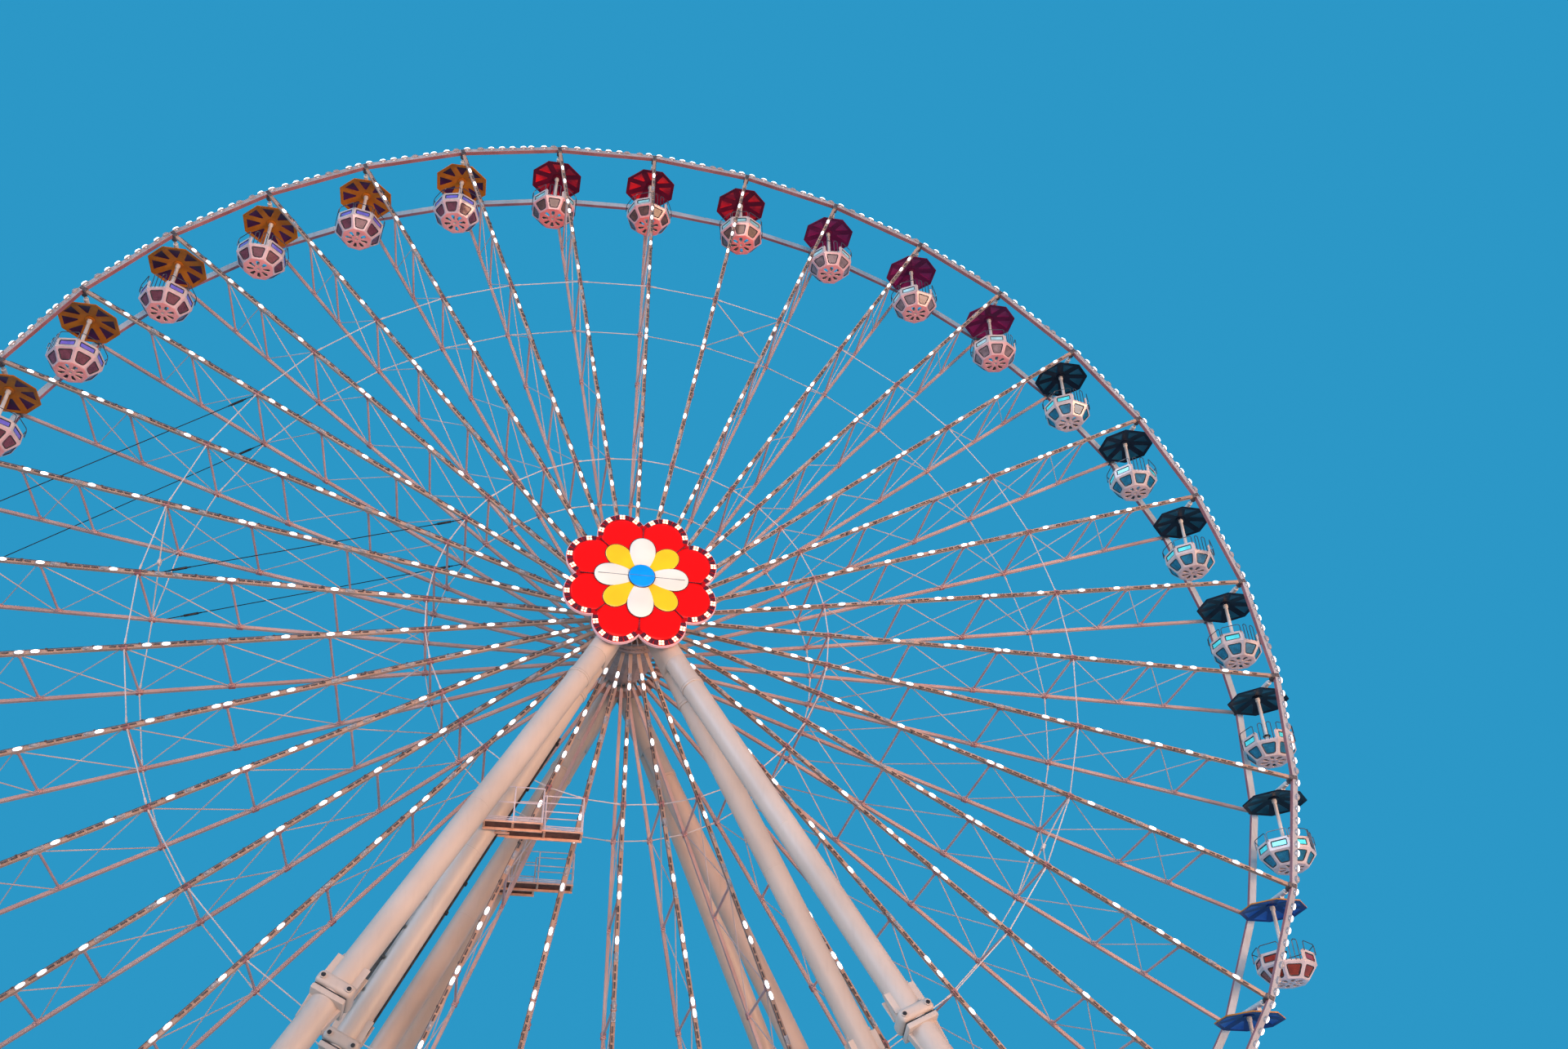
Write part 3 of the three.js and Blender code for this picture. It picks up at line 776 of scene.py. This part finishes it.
back_parts = [flower_plate(lobe_place - 0.05, lobe_radius - 0.06, sign_back + 0.03, sign_back - 0.002)]
back_parts.append(drum(0.15, 0.24, (0, -1.64, 0), sides=32, edge=0.01))
for i in range(4):
    back_parts.append(block((1.7, 0.05, 0.06), (0, sign_back + 0.05, 0), turn=(0, i * lobe_angle, 0),
                            edge=0.006))
dress(weld(*back_parts), "sign_back", "frame", "grey_steel", sign_dark, smooth=30)

# Daisy. Four white and four yellow drop-shaped diffusers lie on the red flower round a blue disc, each in
# a thin dark trim. The white pair at the sides and the disc have a seam along the middle.
def petal(angle, y, inner, outer, width, rise):
    """A drop-shaped cushion of moulded plastic, round at its outer end"""
    clear_selection()
    bpy.ops.mesh.primitive_uv_sphere_add(segments=32, ring_count=14, radius=1)
    thing = bpy.context.object
    half = (outer - inner) / 2
    for corner in thing.data.vertices:
        along = corner.co.x
        taper = 0.775 + 0.225 * along
        corner.co = Vector((-corner.co.y * width * taper, -corner.co.z * rise, inner + half * (1 + along)))
    thing.matrix_world = Matrix.Translation((0, y, 0)) @ Matrix.Rotation(angle, 4, "Y")
    return thing


daisy_white = lamp_glass("daisy_white_diffuser", (0.80, 0.75, 0.64), 0.10, cloud=2.5)
daisy_yellow = lamp_glass("daisy_yellow_diffuser", (0.90, 0.50, 0.002), 0.22, cloud=2.5)
daisy_blue = lamp_glass("daisy_blue_diffuser", (0.003, 0.25, 0.74), 0.40, cloud=2.5)
daisy_seam = moulded("daisy_seam_grey", (0.10, 0.11, 0.12), (0.20, 0.21, 0.22))
daisy_trim = moulded("daisy_trim", (0.05, 0.012, 0.008), (0.09, 0.02, 0.012))
daisy_y = sign_front - 0.030
yellow = [petal((i + 0.5) * math.pi / 2, daisy_y, 0.08, 0.74, 0.236, 0.022) for i in range(4)]
dress(weld(*yellow), "daisy_yellow_petals", "frame", "sign_yellow", daisy_yellow, smooth=50)
white = [petal(i * math.pi / 2, daisy_y - 0.012, 0.08, 0.725, 0.25, 0.024) for i in range(4)]
white = dress(weld(*white), "daisy_white_petals", "frame", "sign_white", daisy_white, smooth=50)
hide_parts("daisy")
trims = [petal((i + 0.5) * math.pi / 2, daisy_y + 0.004, 0.07, 0.752, 0.250, 0.010) for i in range(4)]
trims += [petal(i * math.pi / 2, daisy_y - 0.008, 0.07, 0.737, 0.264, 0.010) for i in range(4)]
trims.append(drum(0.211, 0.012, (0, daisy_y - 0.034, 0), sides=48, edge=0.004))
dress(weld(*trims), "daisy_trim", "frame", "dark_rubber", daisy_trim, smooth=50)
centre = drum(0.200, 0.030, (0, daisy_y - 0.042, 0), sides=48, edge=0.012, segments=3)
dress(centre, "daisy_disc", "frame", "sign_blue", daisy_blue, smooth=40)
seams = [block((0.46, 0.006, 0.007), (x, daisy_y - 0.0345, 0)) for x in (-0.44, 0.44)]
seams.append(block((0.38, 0.006, 0.007), (0, daisy_y - 0.0560, 0)))
dress(weld(*seams), "daisy_seams", "frame", "dark_rubber", daisy_seam)

# Service platforms. Two trays of open grating in welded angle frames hang on a saddle bracket at each left
# inner leg, one beside it and one before it, with thin tube railings and toe boards.
tray_wide_y = (1.238, 1.496)
tray_narrow_y = (1.496, 1.721)
platform_paint = enamel("platform_frame_paint", (0.70, 0.33, 0.20), (0.84, 0.44, 0.29), size=6, streaks=0.3)
grating_steel = enamel("grating_steel", (0.085, 0.022, 0.010), (0.17, 0.050, 0.024), shine=0.5, grain=160,
                       size=14)
pipe_inset = 0.012
rail_heights = (0.5, 0.27)
toe_heights = (0.012, 0.034, 0.056)
rail_paint = enamel("railing_paint", (0.55, 0.42, 0.42), (0.68, 0.55, 0.54), size=5)
for end, face, z, wide, narrow in (("front", -1, -4.05, (-1.672, -0.613), (-1.985, -1.176)),
                                   ("rear", 1, -3.746, (-1.632, -0.535), (-1.85, -1.114))):
    frames = []
    slats = []
    pipes = []
    for (x0, x1), (near, far) in ((wide, tray_wide_y), (narrow, tray_narrow_y)):
        y0, y1 = sorted((face * near, face * far))
        middle_x, middle_y = (x0 + x1) / 2, (y0 + y1) / 2
        frames.append(block((x1 - x0, 0.022, 0.022), (middle_x, y0 + 0.011, z - 0.014), edge=0.003))
        frames.append(block((x1 - x0, 0.026, 0.055), (middle_x, y1 - 0.013, z - 0.0305), edge=0.004))
        for x in (x0 + 0.016, middle_x, x1 - 0.016):
            frames.append(block((0.032, y1 - y0 - 0.04, 0.030), (x, middle_y, z - 0.018), edge=0.004))
        count = int((y1 - y0) / 0.024)
        for i in range(1, count):
            slats.append(block((x1 - x0 - 0.03, 0.012, 0.012),
                               (middle_x, y0 + (y1 - y0) * i / count, z - 0.016)))
        count = int((x1 - x0) / 0.075)
        for i in range(1, count):
            slats.append(block((0.005, y1 - y0 - 0.03, 0.010),
                               (x0 + (x1 - x0) * i / count, middle_y, z - 0.006)))
        outer_y, inner_y = face * (far - pipe_inset), face * (near + pipe_inset)
        end_x = x1 - pipe_inset
        posts = [(end_x, outer_y), (end_x, inner_y), (middle_x, outer_y)]
        runs = [((end_x, inner_y), (end_x, outer_y))]
        if wide[0] == x0:
            posts += [(middle_x, inner_y), (x0 + 0.10, inner_y)]
            runs += [((x0 + 0.10, inner_y), (end_x, inner_y)), ((narrow[1], outer_y), (end_x, outer_y))]
        else:
            posts.append((x0 + pipe_inset, outer_y))
            runs.append(((x0 + pipe_inset, outer_y), (end_x, outer_y)))
        for x, y in posts:
            pipes.append(rod((x, y, z - 0.02), (x, y, z + rail_heights[0]), 0.0095, sides=8))
        for (ax, ay), (bx, by) in runs:
            for height in rail_heights:
                pipes.append(rod((ax, ay, z + height), (bx, by, z + height), 0.0085, sides=8))
            size = (abs(bx - ax) + 0.005, abs(by - ay) + 0.005, 0.011)
            for height in toe_heights:
                pipes.append(block(size, ((ax + bx) / 2, (ay + by) / 2, z + height)))
    for y in (1.27, 1.37):
        frames.append(block((0.30, 0.030, 0.040), (wide[0] - 0.09, face * y, z - 0.030), edge=0.004))
    deck = dress(weld(*frames), f"platform_{end}_frames", "frame", "galvanised_steel", platform_paint,
                 smooth=35)
    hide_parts(f"platform_{end}")
    dress(weld(*slats), f"platform_{end}_grating", "frame", "galvanised_steel", grating_steel)
    dress(weld(*pipes), f"platform_{end}_railing", "frame", "galvanised_steel", rail_paint, smooth=40)

# Gondola canopies. Each is an eight-sided moulded roof with wide ribs and a pressed triangular panel
# in every side, a trimmed lip and a round cap, and it is bolted to a cross shaft between the rims.
def choose(thing, wanted, sides=3):
    """Selects the faces of so many sides or more for which wanted(centre, normal) holds"""
    mesh = bmesh.from_edit_mesh(thing.data)
    for face in mesh.faces:
        face.select = len(face.verts) >= sides and bool(wanted(face.calc_center_median(), face.normal))
    mesh.select_flush_mode()
    bmesh.update_edit_mesh(thing.data)


def pick(thing, wanted):
    """Enters edit mode and chooses faces"""
    take(thing)
    bpy.ops.object.mode_set(mode="EDIT")
    bpy.ops.mesh.select_mode(type="FACE")
    bpy.ops.mesh.select_all(action="DESELECT")
    choose(thing, wanted)


def stain(thing, index):
    """Gives the selected faces a material slot"""
    mesh = bmesh.from_edit_mesh(thing.data)
    for face in mesh.faces:
        if face.select:
            face.material_index = index
    bmesh.update_edit_mesh(thing.data)


def walled(thing, thickness, offset, rim_slot=0):
    """Gives an open skin the thickness of its moulding"""
    return shaped(thing, "SOLIDIFY", thickness=thickness, offset=offset, use_even_offset=True,
                  material_offset_rim=rim_slot)


canopy_radius = 0.528
clear_selection()
bpy.ops.mesh.primitive_cone_add(vertices=8, radius1=canopy_radius, radius2=0.15, depth=0.0781,
                                end_fill_type="NOTHING", location=(0, 0, -0.11095),
                                rotation=(0, 0, math.pi / 8))
canopy = weld(bpy.context.object)
blank = bpy.data.materials.new("blank")
for _ in range(3):
    canopy.data.materials.append(blank)
take(canopy)
bpy.ops.object.mode_set(mode="EDIT")
bpy.ops.mesh.select_mode(type="EDGE")
bpy.ops.mesh.select_all(action="DESELECT")
mesh = bmesh.from_edit_mesh(canopy.data)
for edge in mesh.edges:
    edge.select = edge.is_boundary and all(corner.co.z > -0.09 for corner in edge.verts)
bmesh.update_edit_mesh(canopy.data)
bpy.ops.mesh.extrude_edges_move(TRANSFORM_OT_translate={"value": (0, 0, 0.022)})
bpy.ops.transform.resize(value=(0.26, 0.26, 1))
leave()
walled(canopy, 0.022, 1, rim_slot=2)
pick(canopy, lambda centre, normal: abs(normal.z) > 0.5 and 0.2 < Vector((centre.x, centre.y)).length < 0.45)
bpy.ops.mesh.inset(thickness=0.062, use_individual=True)
stain(canopy, 1)
bpy.ops.mesh.inset(thickness=0.006, depth=-0.008, use_individual=True)
leave()
rounded(canopy, 0.003, angle=35)
canopy_cap = weld(drum(0.075, 0.03, (0, 0, -0.034), axis="Z", sides=16, edge=0.008),
                  drum(0.085, 0.02, (0, 0, -0.066), axis="Z", sides=16, edge=0.006))
canopy_cap.data.materials.append(blank)

# Cross shaft and pole. A painted shaft in two plain bearings carries the canopy by four lugs, and a pole
# hangs from it through the canopy to the tub floor, with a small dark handwheel at hand height.
pole_parts = [drum(0.027, 1.2312, (0, 0, 0), sides=16),
              drum(0.044, 0.94, (0, 0, 0), sides=16, edge=0.006),
              drum(0.031, 1.23, (0, 0, -0.668), axis="Z", sides=16),
              drum(0.042, 0.07, (0, 0, -0.105), axis="Z", sides=16, edge=0.010),
              drum(0.085, 0.02, (0, 0, -1.28), axis="Z", sides=16, edge=0.005),
              drum(0.05, 0.14, (0, 0, -1.21), axis="Z", sides=16, edge=0.012)]
for y, reach in ((-0.34, 0.10), (-0.17, 0.075), (0.17, 0.075), (0.34, 0.10)):
    pole_parts.append(block((0.07, 0.016, reach), (0, y, -reach / 2), edge=0.004))
pole = weld(*pole_parts)
at_hand = (0, 0, -0.82)
clear_selection()
bpy.ops.mesh.primitive_torus_add(major_radius=0.056, minor_radius=0.010, major_segments=20, minor_segments=6,
                                 location=at_hand)
wheel_parts = [bpy.context.object, drum(0.044, 0.022, at_hand, axis="Z", sides=16, edge=0.005)]
for turn in (0, math.pi / 3, 2 * math.pi / 3):
    wheel_parts.append(block((0.11, 0.012, 0.008), at_hand, turn=(0, 0, turn)))
handwheel = weld(*wheel_parts)

# Gondola tubs. An eight-sided moulded tub has a band of wide windows over a tapered band of smaller ones.
# Its panes sit in dark gaskets, drop-shaped holes drain the floor, and one side of the upper band is the
# doorway.
tub_radius = 0.456
tub_top = -0.898
band_bottom = -1.095
tub_floor = -1.311
floor_radius = 0.28
tub_wall = 0.022
drop_reach = 0.176
clear_selection()
bpy.ops.mesh.primitive_cylinder_add(vertices=8, radius=tub_radius, depth=tub_top - band_bottom,
                                    end_fill_type="NGON", location=(0, 0, (tub_top + band_bottom) / 2),
                                    rotation=(0, 0, math.pi / 8))
tub = weld(bpy.context.object)
for _ in range(7):
    tub.data.materials.append(blank)
pick(tub, lambda centre, normal: normal.z < -0.9)
bpy.ops.mesh.extrude_region_move(TRANSFORM_OT_translate={"value": (0, 0, tub_floor - band_bottom)})
bpy.ops.transform.resize(value=(floor_radius / tub_radius, floor_radius / tub_radius, 1))
leave()


def cut_away(thing, wanted, frame=0.0):
    """Takes the wanted faces out, or all of them but a frame along their edges"""
    pick(thing, wanted)
    if frame:
        bpy.ops.mesh.inset(thickness=frame, use_individual=True)
    bpy.ops.mesh.delete(type="FACE")
    leave()


cut_away(tub, lambda centre, normal: normal.z > 0.9)
cut_away(tub, lambda centre, normal: normal.y < -0.9 and centre.z > band_bottom, frame=0.036)
cut_away(tub, lambda centre, normal: normal.y < -0.9 and centre.z > tub_top - 0.03)
walled(tub, tub_wall, -1)
cutters = [drum(0.030, 0.1, (0, 0, tub_floor), axis="Z", sides=12)]
for i in range(8):
    angle = i * math.pi / 4
    drop = weld(drum(0.036, 0.1, (0, 0, 0), axis="Z", sides=12))
    for corner in drop.data.vertices:
        if corner.co.x < -0.03:
            corner.co.x = -0.088
    drop.location = Vector((math.cos(angle), math.sin(angle), 0)) * drop_reach + Vector((0, 0, tub_floor))
    drop.rotation_euler = (0, 0, angle)
    cutters.append(drop)
cutter = weld(*cutters)
shaped(tub, "BOOLEAN", operation="DIFFERENCE", solver="EXACT", object=cutter)
bpy.data.objects.remove(cutter)
pick(tub, lambda centre, normal: normal.z < -0.9 and centre.z < tub_floor + 0.004)
stain(tub, 4)
leave()


def glaze(wanted, frame, seal, depth, pane, corner=0.02):
    """Sinks a pane with round corners in a dark gasket into every face of the tub that is wanted"""
    pick(tub, wanted)
    bpy.ops.mesh.inset(thickness=frame, use_individual=True)
    bpy.ops.mesh.bevel(offset=corner, segments=2, affect="VERTICES")
    choose(tub, wanted, sides=10)
    stain(tub, 1)
    bpy.ops.mesh.inset(thickness=seal, use_individual=True)
    bpy.ops.mesh.inset(thickness=0.003, depth=-depth, use_individual=True)
    stain(tub, pane)
    leave()


def in_upper_band(centre, normal):
    side = Vector((centre.x, centre.y)).length
    return abs(normal.z) < 0.1 and side > 0.3 and not (centre.y < -0.35 and abs(centre.x) < 0.2)


def in_lower_band(centre, normal):
    return 0.15 < abs(normal.z) < 0.9 and band_bottom - 0.2 < centre.z < band_bottom - 0.04


def looks(band, way):
    """The test for a face of one band that looks out of the tub, for way 1, or into it, for way -1"""
    def wanted(centre, normal):
        return band(centre, normal) and way * (centre.x * normal.x + centre.y * normal.y) > 0.15

    return wanted


pick(tub, looks(in_lower_band, 1))
stain(tub, 6)
leave()
glaze(looks(in_upper_band, 1), 0.042, 0.013, 0.009, 2)
glaze(looks(in_upper_band, -1), 0.038, 0.011, 0.006, 2)
glaze(looks(in_lower_band, 1), 0.036, 0.013, 0.009, 3, 0.034)
glaze(looks(in_lower_band, -1), 0.032, 0.012, 0.006, 3, 0.034)
rounded(tub, 0.0025, angle=50)

# Seats. A moulded bench runs round the inside of the tub on a closed skirt that narrows towards the floor.
# It is open at the doorway.
clear_selection()
bpy.ops.mesh.primitive_cylinder_add(vertices=8, radius=0.40, depth=0.16, end_fill_type="NOTHING",
                                    location=(0, 0, -1.155), rotation=(0, 0, math.pi / 8))
bench = weld(bpy.context.object)
for corner in bench.data.vertices:
    if corner.co.z < -1.16:
        corner.co.x *= 0.66
        corner.co.y *= 0.66
cut_away(bench, lambda centre, normal: normal.y < -0.7 and abs(centre.x) < 0.1)
walled(bench, 0.13, -1)
rounded(bench, 0.008, segments=2)

# Rails. Thin bent steel tubes run over the tub's edge on seven sides, and two narrow hoops close the
# doorway.
rail_radius = 0.0072
rail_reach = 0.478
hoop_y = -0.418
rail_parts = []


def bent_tube(*path):
    """A thin tube through these places"""
    for start, end in zip(path, path[1:]):
        rail_parts.append(rod(start, end, rail_radius, sides=6))


corners = []
for i in range(8):
    angle = math.radians(22.5 + 45 * i)
    corners.append(Vector((math.sin(angle), -math.cos(angle), 0)) * rail_reach)
low, bend, top = (Vector((0, 0, tub_top + height)) for height in (-0.035, 0.095, 0.120))
for a, b in zip(corners, corners[1:]):
    bent_tube(a.lerp(b, 0.05) + low, a.lerp(b, 0.05) + bend, a.lerp(b, 0.13) + top,
              a.lerp(b, 0.87) + top, a.lerp(b, 0.95) + bend, a.lerp(b, 0.95) + low)
hoop_top = tub_top + 0.148
for x in (-0.072, 0.072):
    for side in (-1, 1):
        bent_tube((x + side * 0.035, hoop_y, band_bottom + 0.02), (x + side * 0.035, hoop_y, tub_top + 0.125),
                  (x + side * 0.015, hoop_y, hoop_top))
    bent_tube((x - 0.016, hoop_y, hoop_top), (x + 0.016, hoop_y, hoop_top))
rails = weld(*rail_parts)

# Gondolas in place. 36 copies of these pieces hang from the nodes of the rims, in groups of six of one
# colour. The mouldings are glossy plastic, poles and rails are painted steel, and each tub is turned
# about its pole.
tub_turns = [
    23, 167, -6, 12, 34, 14, -5, 6, 10, -34, 45, -14,
    8, -20, 30, 0, 12, -8, 25, 4, -30, 16, 0, -12,
    40, 6, -5, 18, -25, -100, -52, -12, 1, -123, 166, 0,
]
frame_pink = moulded("tub_frame_rose", (0.60, 0.43, 0.38), (0.74, 0.57, 0.51))
gasket = enamel("window_gasket", (0.012, 0.012, 0.014), (0.03, 0.03, 0.034), shine=0.55, grain=200, size=30)
tub_inside = moulded("bench_moulding", (0.28, 0.20, 0.18), (0.40, 0.29, 0.26))
rail_steel = enamel("rail_steel", (0.07, 0.065, 0.07), (0.14, 0.13, 0.135), shine=0.3, grain=150, size=10,
                    metal=0.6)
pole_paint = enamel("pole_paint", (0.58, 0.53, 0.49), (0.72, 0.67, 0.62), size=4)
# The crimson panel tones run from dark wine to bright red; the bright red is painted light through the
# panels.
groups = {
    "crimson": ((0.10, 0.002, 0.016), (0.16, 0.003, 0.02), (0.20, 0.004, 0.02), (0.90, 0.012, 0.014),
                (0.78, 0.13, 0.11), (0.90, 0.20, 0.17), (0.28, 0.50, 0.50), (0.13, 0.06, 0.05),
                (0.70, 0.27, 0.26), (0.82, 0.36, 0.34)),
    "maroon": ((0.09, 0.003, 0.035), (0.14, 0.005, 0.05), (0.16, 0.006, 0.06), (0.24, 0.01, 0.085),
               (0.62, 0.20, 0.20), (0.74, 0.27, 0.26), (0.40, 0.62, 0.64), (0.22, 0.15, 0.16),
               (0.62, 0.33, 0.33), (0.74, 0.42, 0.41)),
    "teal": ((0.003, 0.006, 0.016), (0.007, 0.013, 0.030), (0.002, 0.030, 0.060), (0.008, 0.075, 0.13),
             (0.50, 0.33, 0.34), (0.62, 0.43, 0.43), (0.10, 0.72, 0.74), (0.012, 0.15, 0.26),
             (0.56, 0.43, 0.41), (0.68, 0.54, 0.52)),
    "blue": ((0.008, 0.03, 0.16), (0.012, 0.05, 0.24), (0.012, 0.07, 0.34), (0.02, 0.11, 0.46),
             (0.48, 0.36, 0.42), (0.60, 0.46, 0.50), (0.26, 0.02, 0.01), (0.22, 0.03, 0.015),
             (0.56, 0.45, 0.46), (0.68, 0.55, 0.56)),
    "plum": ((0.05, 0.008, 0.10), (0.08, 0.014, 0.15), (0.12, 0.02, 0.24), (0.17, 0.03, 0.32),
             (0.56, 0.30, 0.34), (0.68, 0.38, 0.41), (0.34, 0.30, 0.70), (0.12, 0.05, 0.14),
             (0.60, 0.40, 0.40), (0.72, 0.50, 0.49)),
    "amber": ((0.42, 0.105, 0.006), (0.54, 0.155, 0.012), (0.030, 0.005, 0.022), (0.075, 0.010, 0.060),
              (0.80, 0.24, 0.22), (0.90, 0.32, 0.29), (0.17, 0.12, 0.52), (0.16, 0.04, 0.06),
              (0.64, 0.38, 0.38), (0.76, 0.48, 0.47)),
}
darker_ones = (2, 3, 4)
group_order = ["crimson", "teal", "blue", "maroon", "plum", "amber"]
finishes = {}
for name, tones in groups.items():
    roof_low, roof_high, panel_low, panel_high, floor_low, floor_high, upper, lower = tones[:8]
    under_low, under_high = tones[8:]
    edge_tone = ((0.50, 0.17, 0.015), (0.62, 0.24, 0.03)) if name == "blue" else (roof_low, roof_high)
    upper_low, lower_low = tuple(0.75 * c for c in upper), tuple(0.6 * c for c in lower)
    finishes[name] = [
        moulded(f"canopy_{name}", roof_low, roof_high, shine=0.34, coat=0, mirror=0.12),
        # The panels glow a little: painted light through the moulding.
        moulded(f"canopy_panel_{name}", panel_low, panel_high, shine=0.28, glow=0.06, coat=0.02, size=2.2,
                mirror=0.16),
        moulded(f"canopy_lip_{name}", *edge_tone, shine=0.34, coat=0, mirror=0.12),
        # The floor glows: painted light for what its underside takes from the ground.
        moulded(f"tub_floor_{name}", floor_low, floor_high, glow=0.10),
        # Both bands of panes glow: painted light, for no lamp lights them.
        moulded(f"upper_pane_{name}", upper_low, upper, shine=0.1, glow=0.35, coat=0.5, size=9),
        moulded(f"lower_pane_{name}", lower_low, lower, shine=0.22, glow=0.2, coat=0.15, size=9, mirror=0.35),
        moulded(f"tub_underframe_{name}", under_low, under_high),
    ]


def place_copy(model, name, body, slot, turn, place, materials, smooth):
    copy = twin(model)
    copy.rotation_euler = (0, 0, turn)
    return dress(copy, name, body, slot, *materials, lift=place, smooth=smooth)


for i in range(spoke_count):
    name = f"gondola_{i + 1:02d}"
    body = f"{name}_body"
    group = group_order[((i + 1) % spoke_count) // 6]
    shade = "maroon" if i in darker_ones else group
    roof, panel, lip, floor, upper, lower, under = finishes[shade]
    place = hub + around(i * step, 1) * rim_radius
    turn = math.radians(tub_turns[i])
    top = place_copy(canopy, f"{name}_canopy", body, f"gondola_{group}", 0, place, (roof, panel, lip), 30)
    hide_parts(name)
    place_copy(canopy_cap, f"{name}_cap", body, f"gondola_{group}", 0, place, (roof,), 35)
    place_copy(pole, f"{name}_pole", body, "cream_steel", 0, place, (pole_paint,), 35)
    place_copy(handwheel, f"{name}_handwheel", body, "dark_rubber", turn, place, (gasket,), 40)
    place_copy(tub, f"{name}_tub", body, "gondola_cream", turn, place,
               (frame_pink, gasket, upper, lower, floor, frame_pink, under), 30)
    place_copy(bench, f"{name}_bench", body, "gondola_cream", turn, place, (tub_inside,), 35)
    place_copy(rails, f"{name}_rails", body, "dark_rubber", turn, place, (rail_steel,), 50)
for model in (canopy, canopy_cap, pole, handwheel, tub, bench, rails):
    bpy.data.objects.remove(model)
bpy.data.materials.remove(blank)

# Floor, light and camera. A plain pale floor and a plain backdrop, a broad cool light from the left above,
# a warm low fill from the front right, a weaker one from the front, and the photograph's viewpoint.
clear_selection()
bpy.ops.mesh.primitive_plane_add(size=400, location=(0, 0, -0.002))
floor = bpy.context.object
floor.name = "floor"
floor_finish, shader, add, feed = new_finish("floor_finish")
feed(shader, {"Base Color": (0.76, 0.71, 0.64, 1), "Roughness": 0.8})
floor.data.materials.append(floor_finish)

world = bpy.data.worlds.new("backdrop")
bpy.context.scene.world = world
bpy.context.scene.view_settings.view_transform = "Standard"
world.use_nodes = True
world.node_tree.nodes["Background"].inputs["Color"].default_value = (0.025, 0.31, 0.57, 1)


def studio_light(name, kind, colour, power, place, aim, **settings):
    """A light at a place that looks at its aim"""
    light = bpy.data.lights.new(name, kind)
    light.color = colour
    light.energy = power
    for setting, value in settings.items():
        setattr(light, setting, value)
    lamp = bpy.data.objects.new(name, light)
    bpy.context.collection.objects.link(lamp)
    lamp.location = place
    lamp.rotation_euler = (Vector(aim) - Vector(place)).to_track_quat("-Z", "Y").to_euler()


spread = math.radians(90)
studio_light("key", "SUN", (0.66, 0.78, 1.0), 1.8, (-25.5, -12.6, 15.0), (0, 0, 0), angle=math.radians(30))
studio_light("warm_fill", "AREA", (1.0, 0.57, 0.33), 6300, (30, -26, 2.0), (-2, 0, 11), size=20,
             spread=spread)
studio_light("low_fill", "AREA", (1.0, 0.68, 0.58), 2700, (-3, -30, 1.2), (0, 0, 14), size=16, spread=spread)

camera_data = bpy.data.cameras.new("camera")
camera = bpy.data.objects.new("camera", camera_data)
bpy.context.collection.objects.link(camera)
azimuth = math.radians(-12.015)
elevation = math.radians(35.850)
roll = math.radians(-1.152)
forward = Vector((-math.sin(azimuth) * math.cos(elevation), math.cos(azimuth) * math.cos(elevation),
                  math.sin(elevation)))
right = forward.cross(Vector((0, 0, 1))).normalized()
up = right.cross(forward)
right, up = math.cos(roll) * right + math.sin(roll) * up, -math.sin(roll) * right + math.cos(roll) * up
camera.matrix_world = (Matrix.Translation((-1.7685, -19.560, 1.5775))
                       @ Matrix((right, up, -forward)).transposed().to_4x4())
camera_data.lens = 31.68
camera_data.sensor_width = 36
camera_data.shift_x = 0.0106
camera_data.clip_end = 500
bpy.context.scene.camera = camera
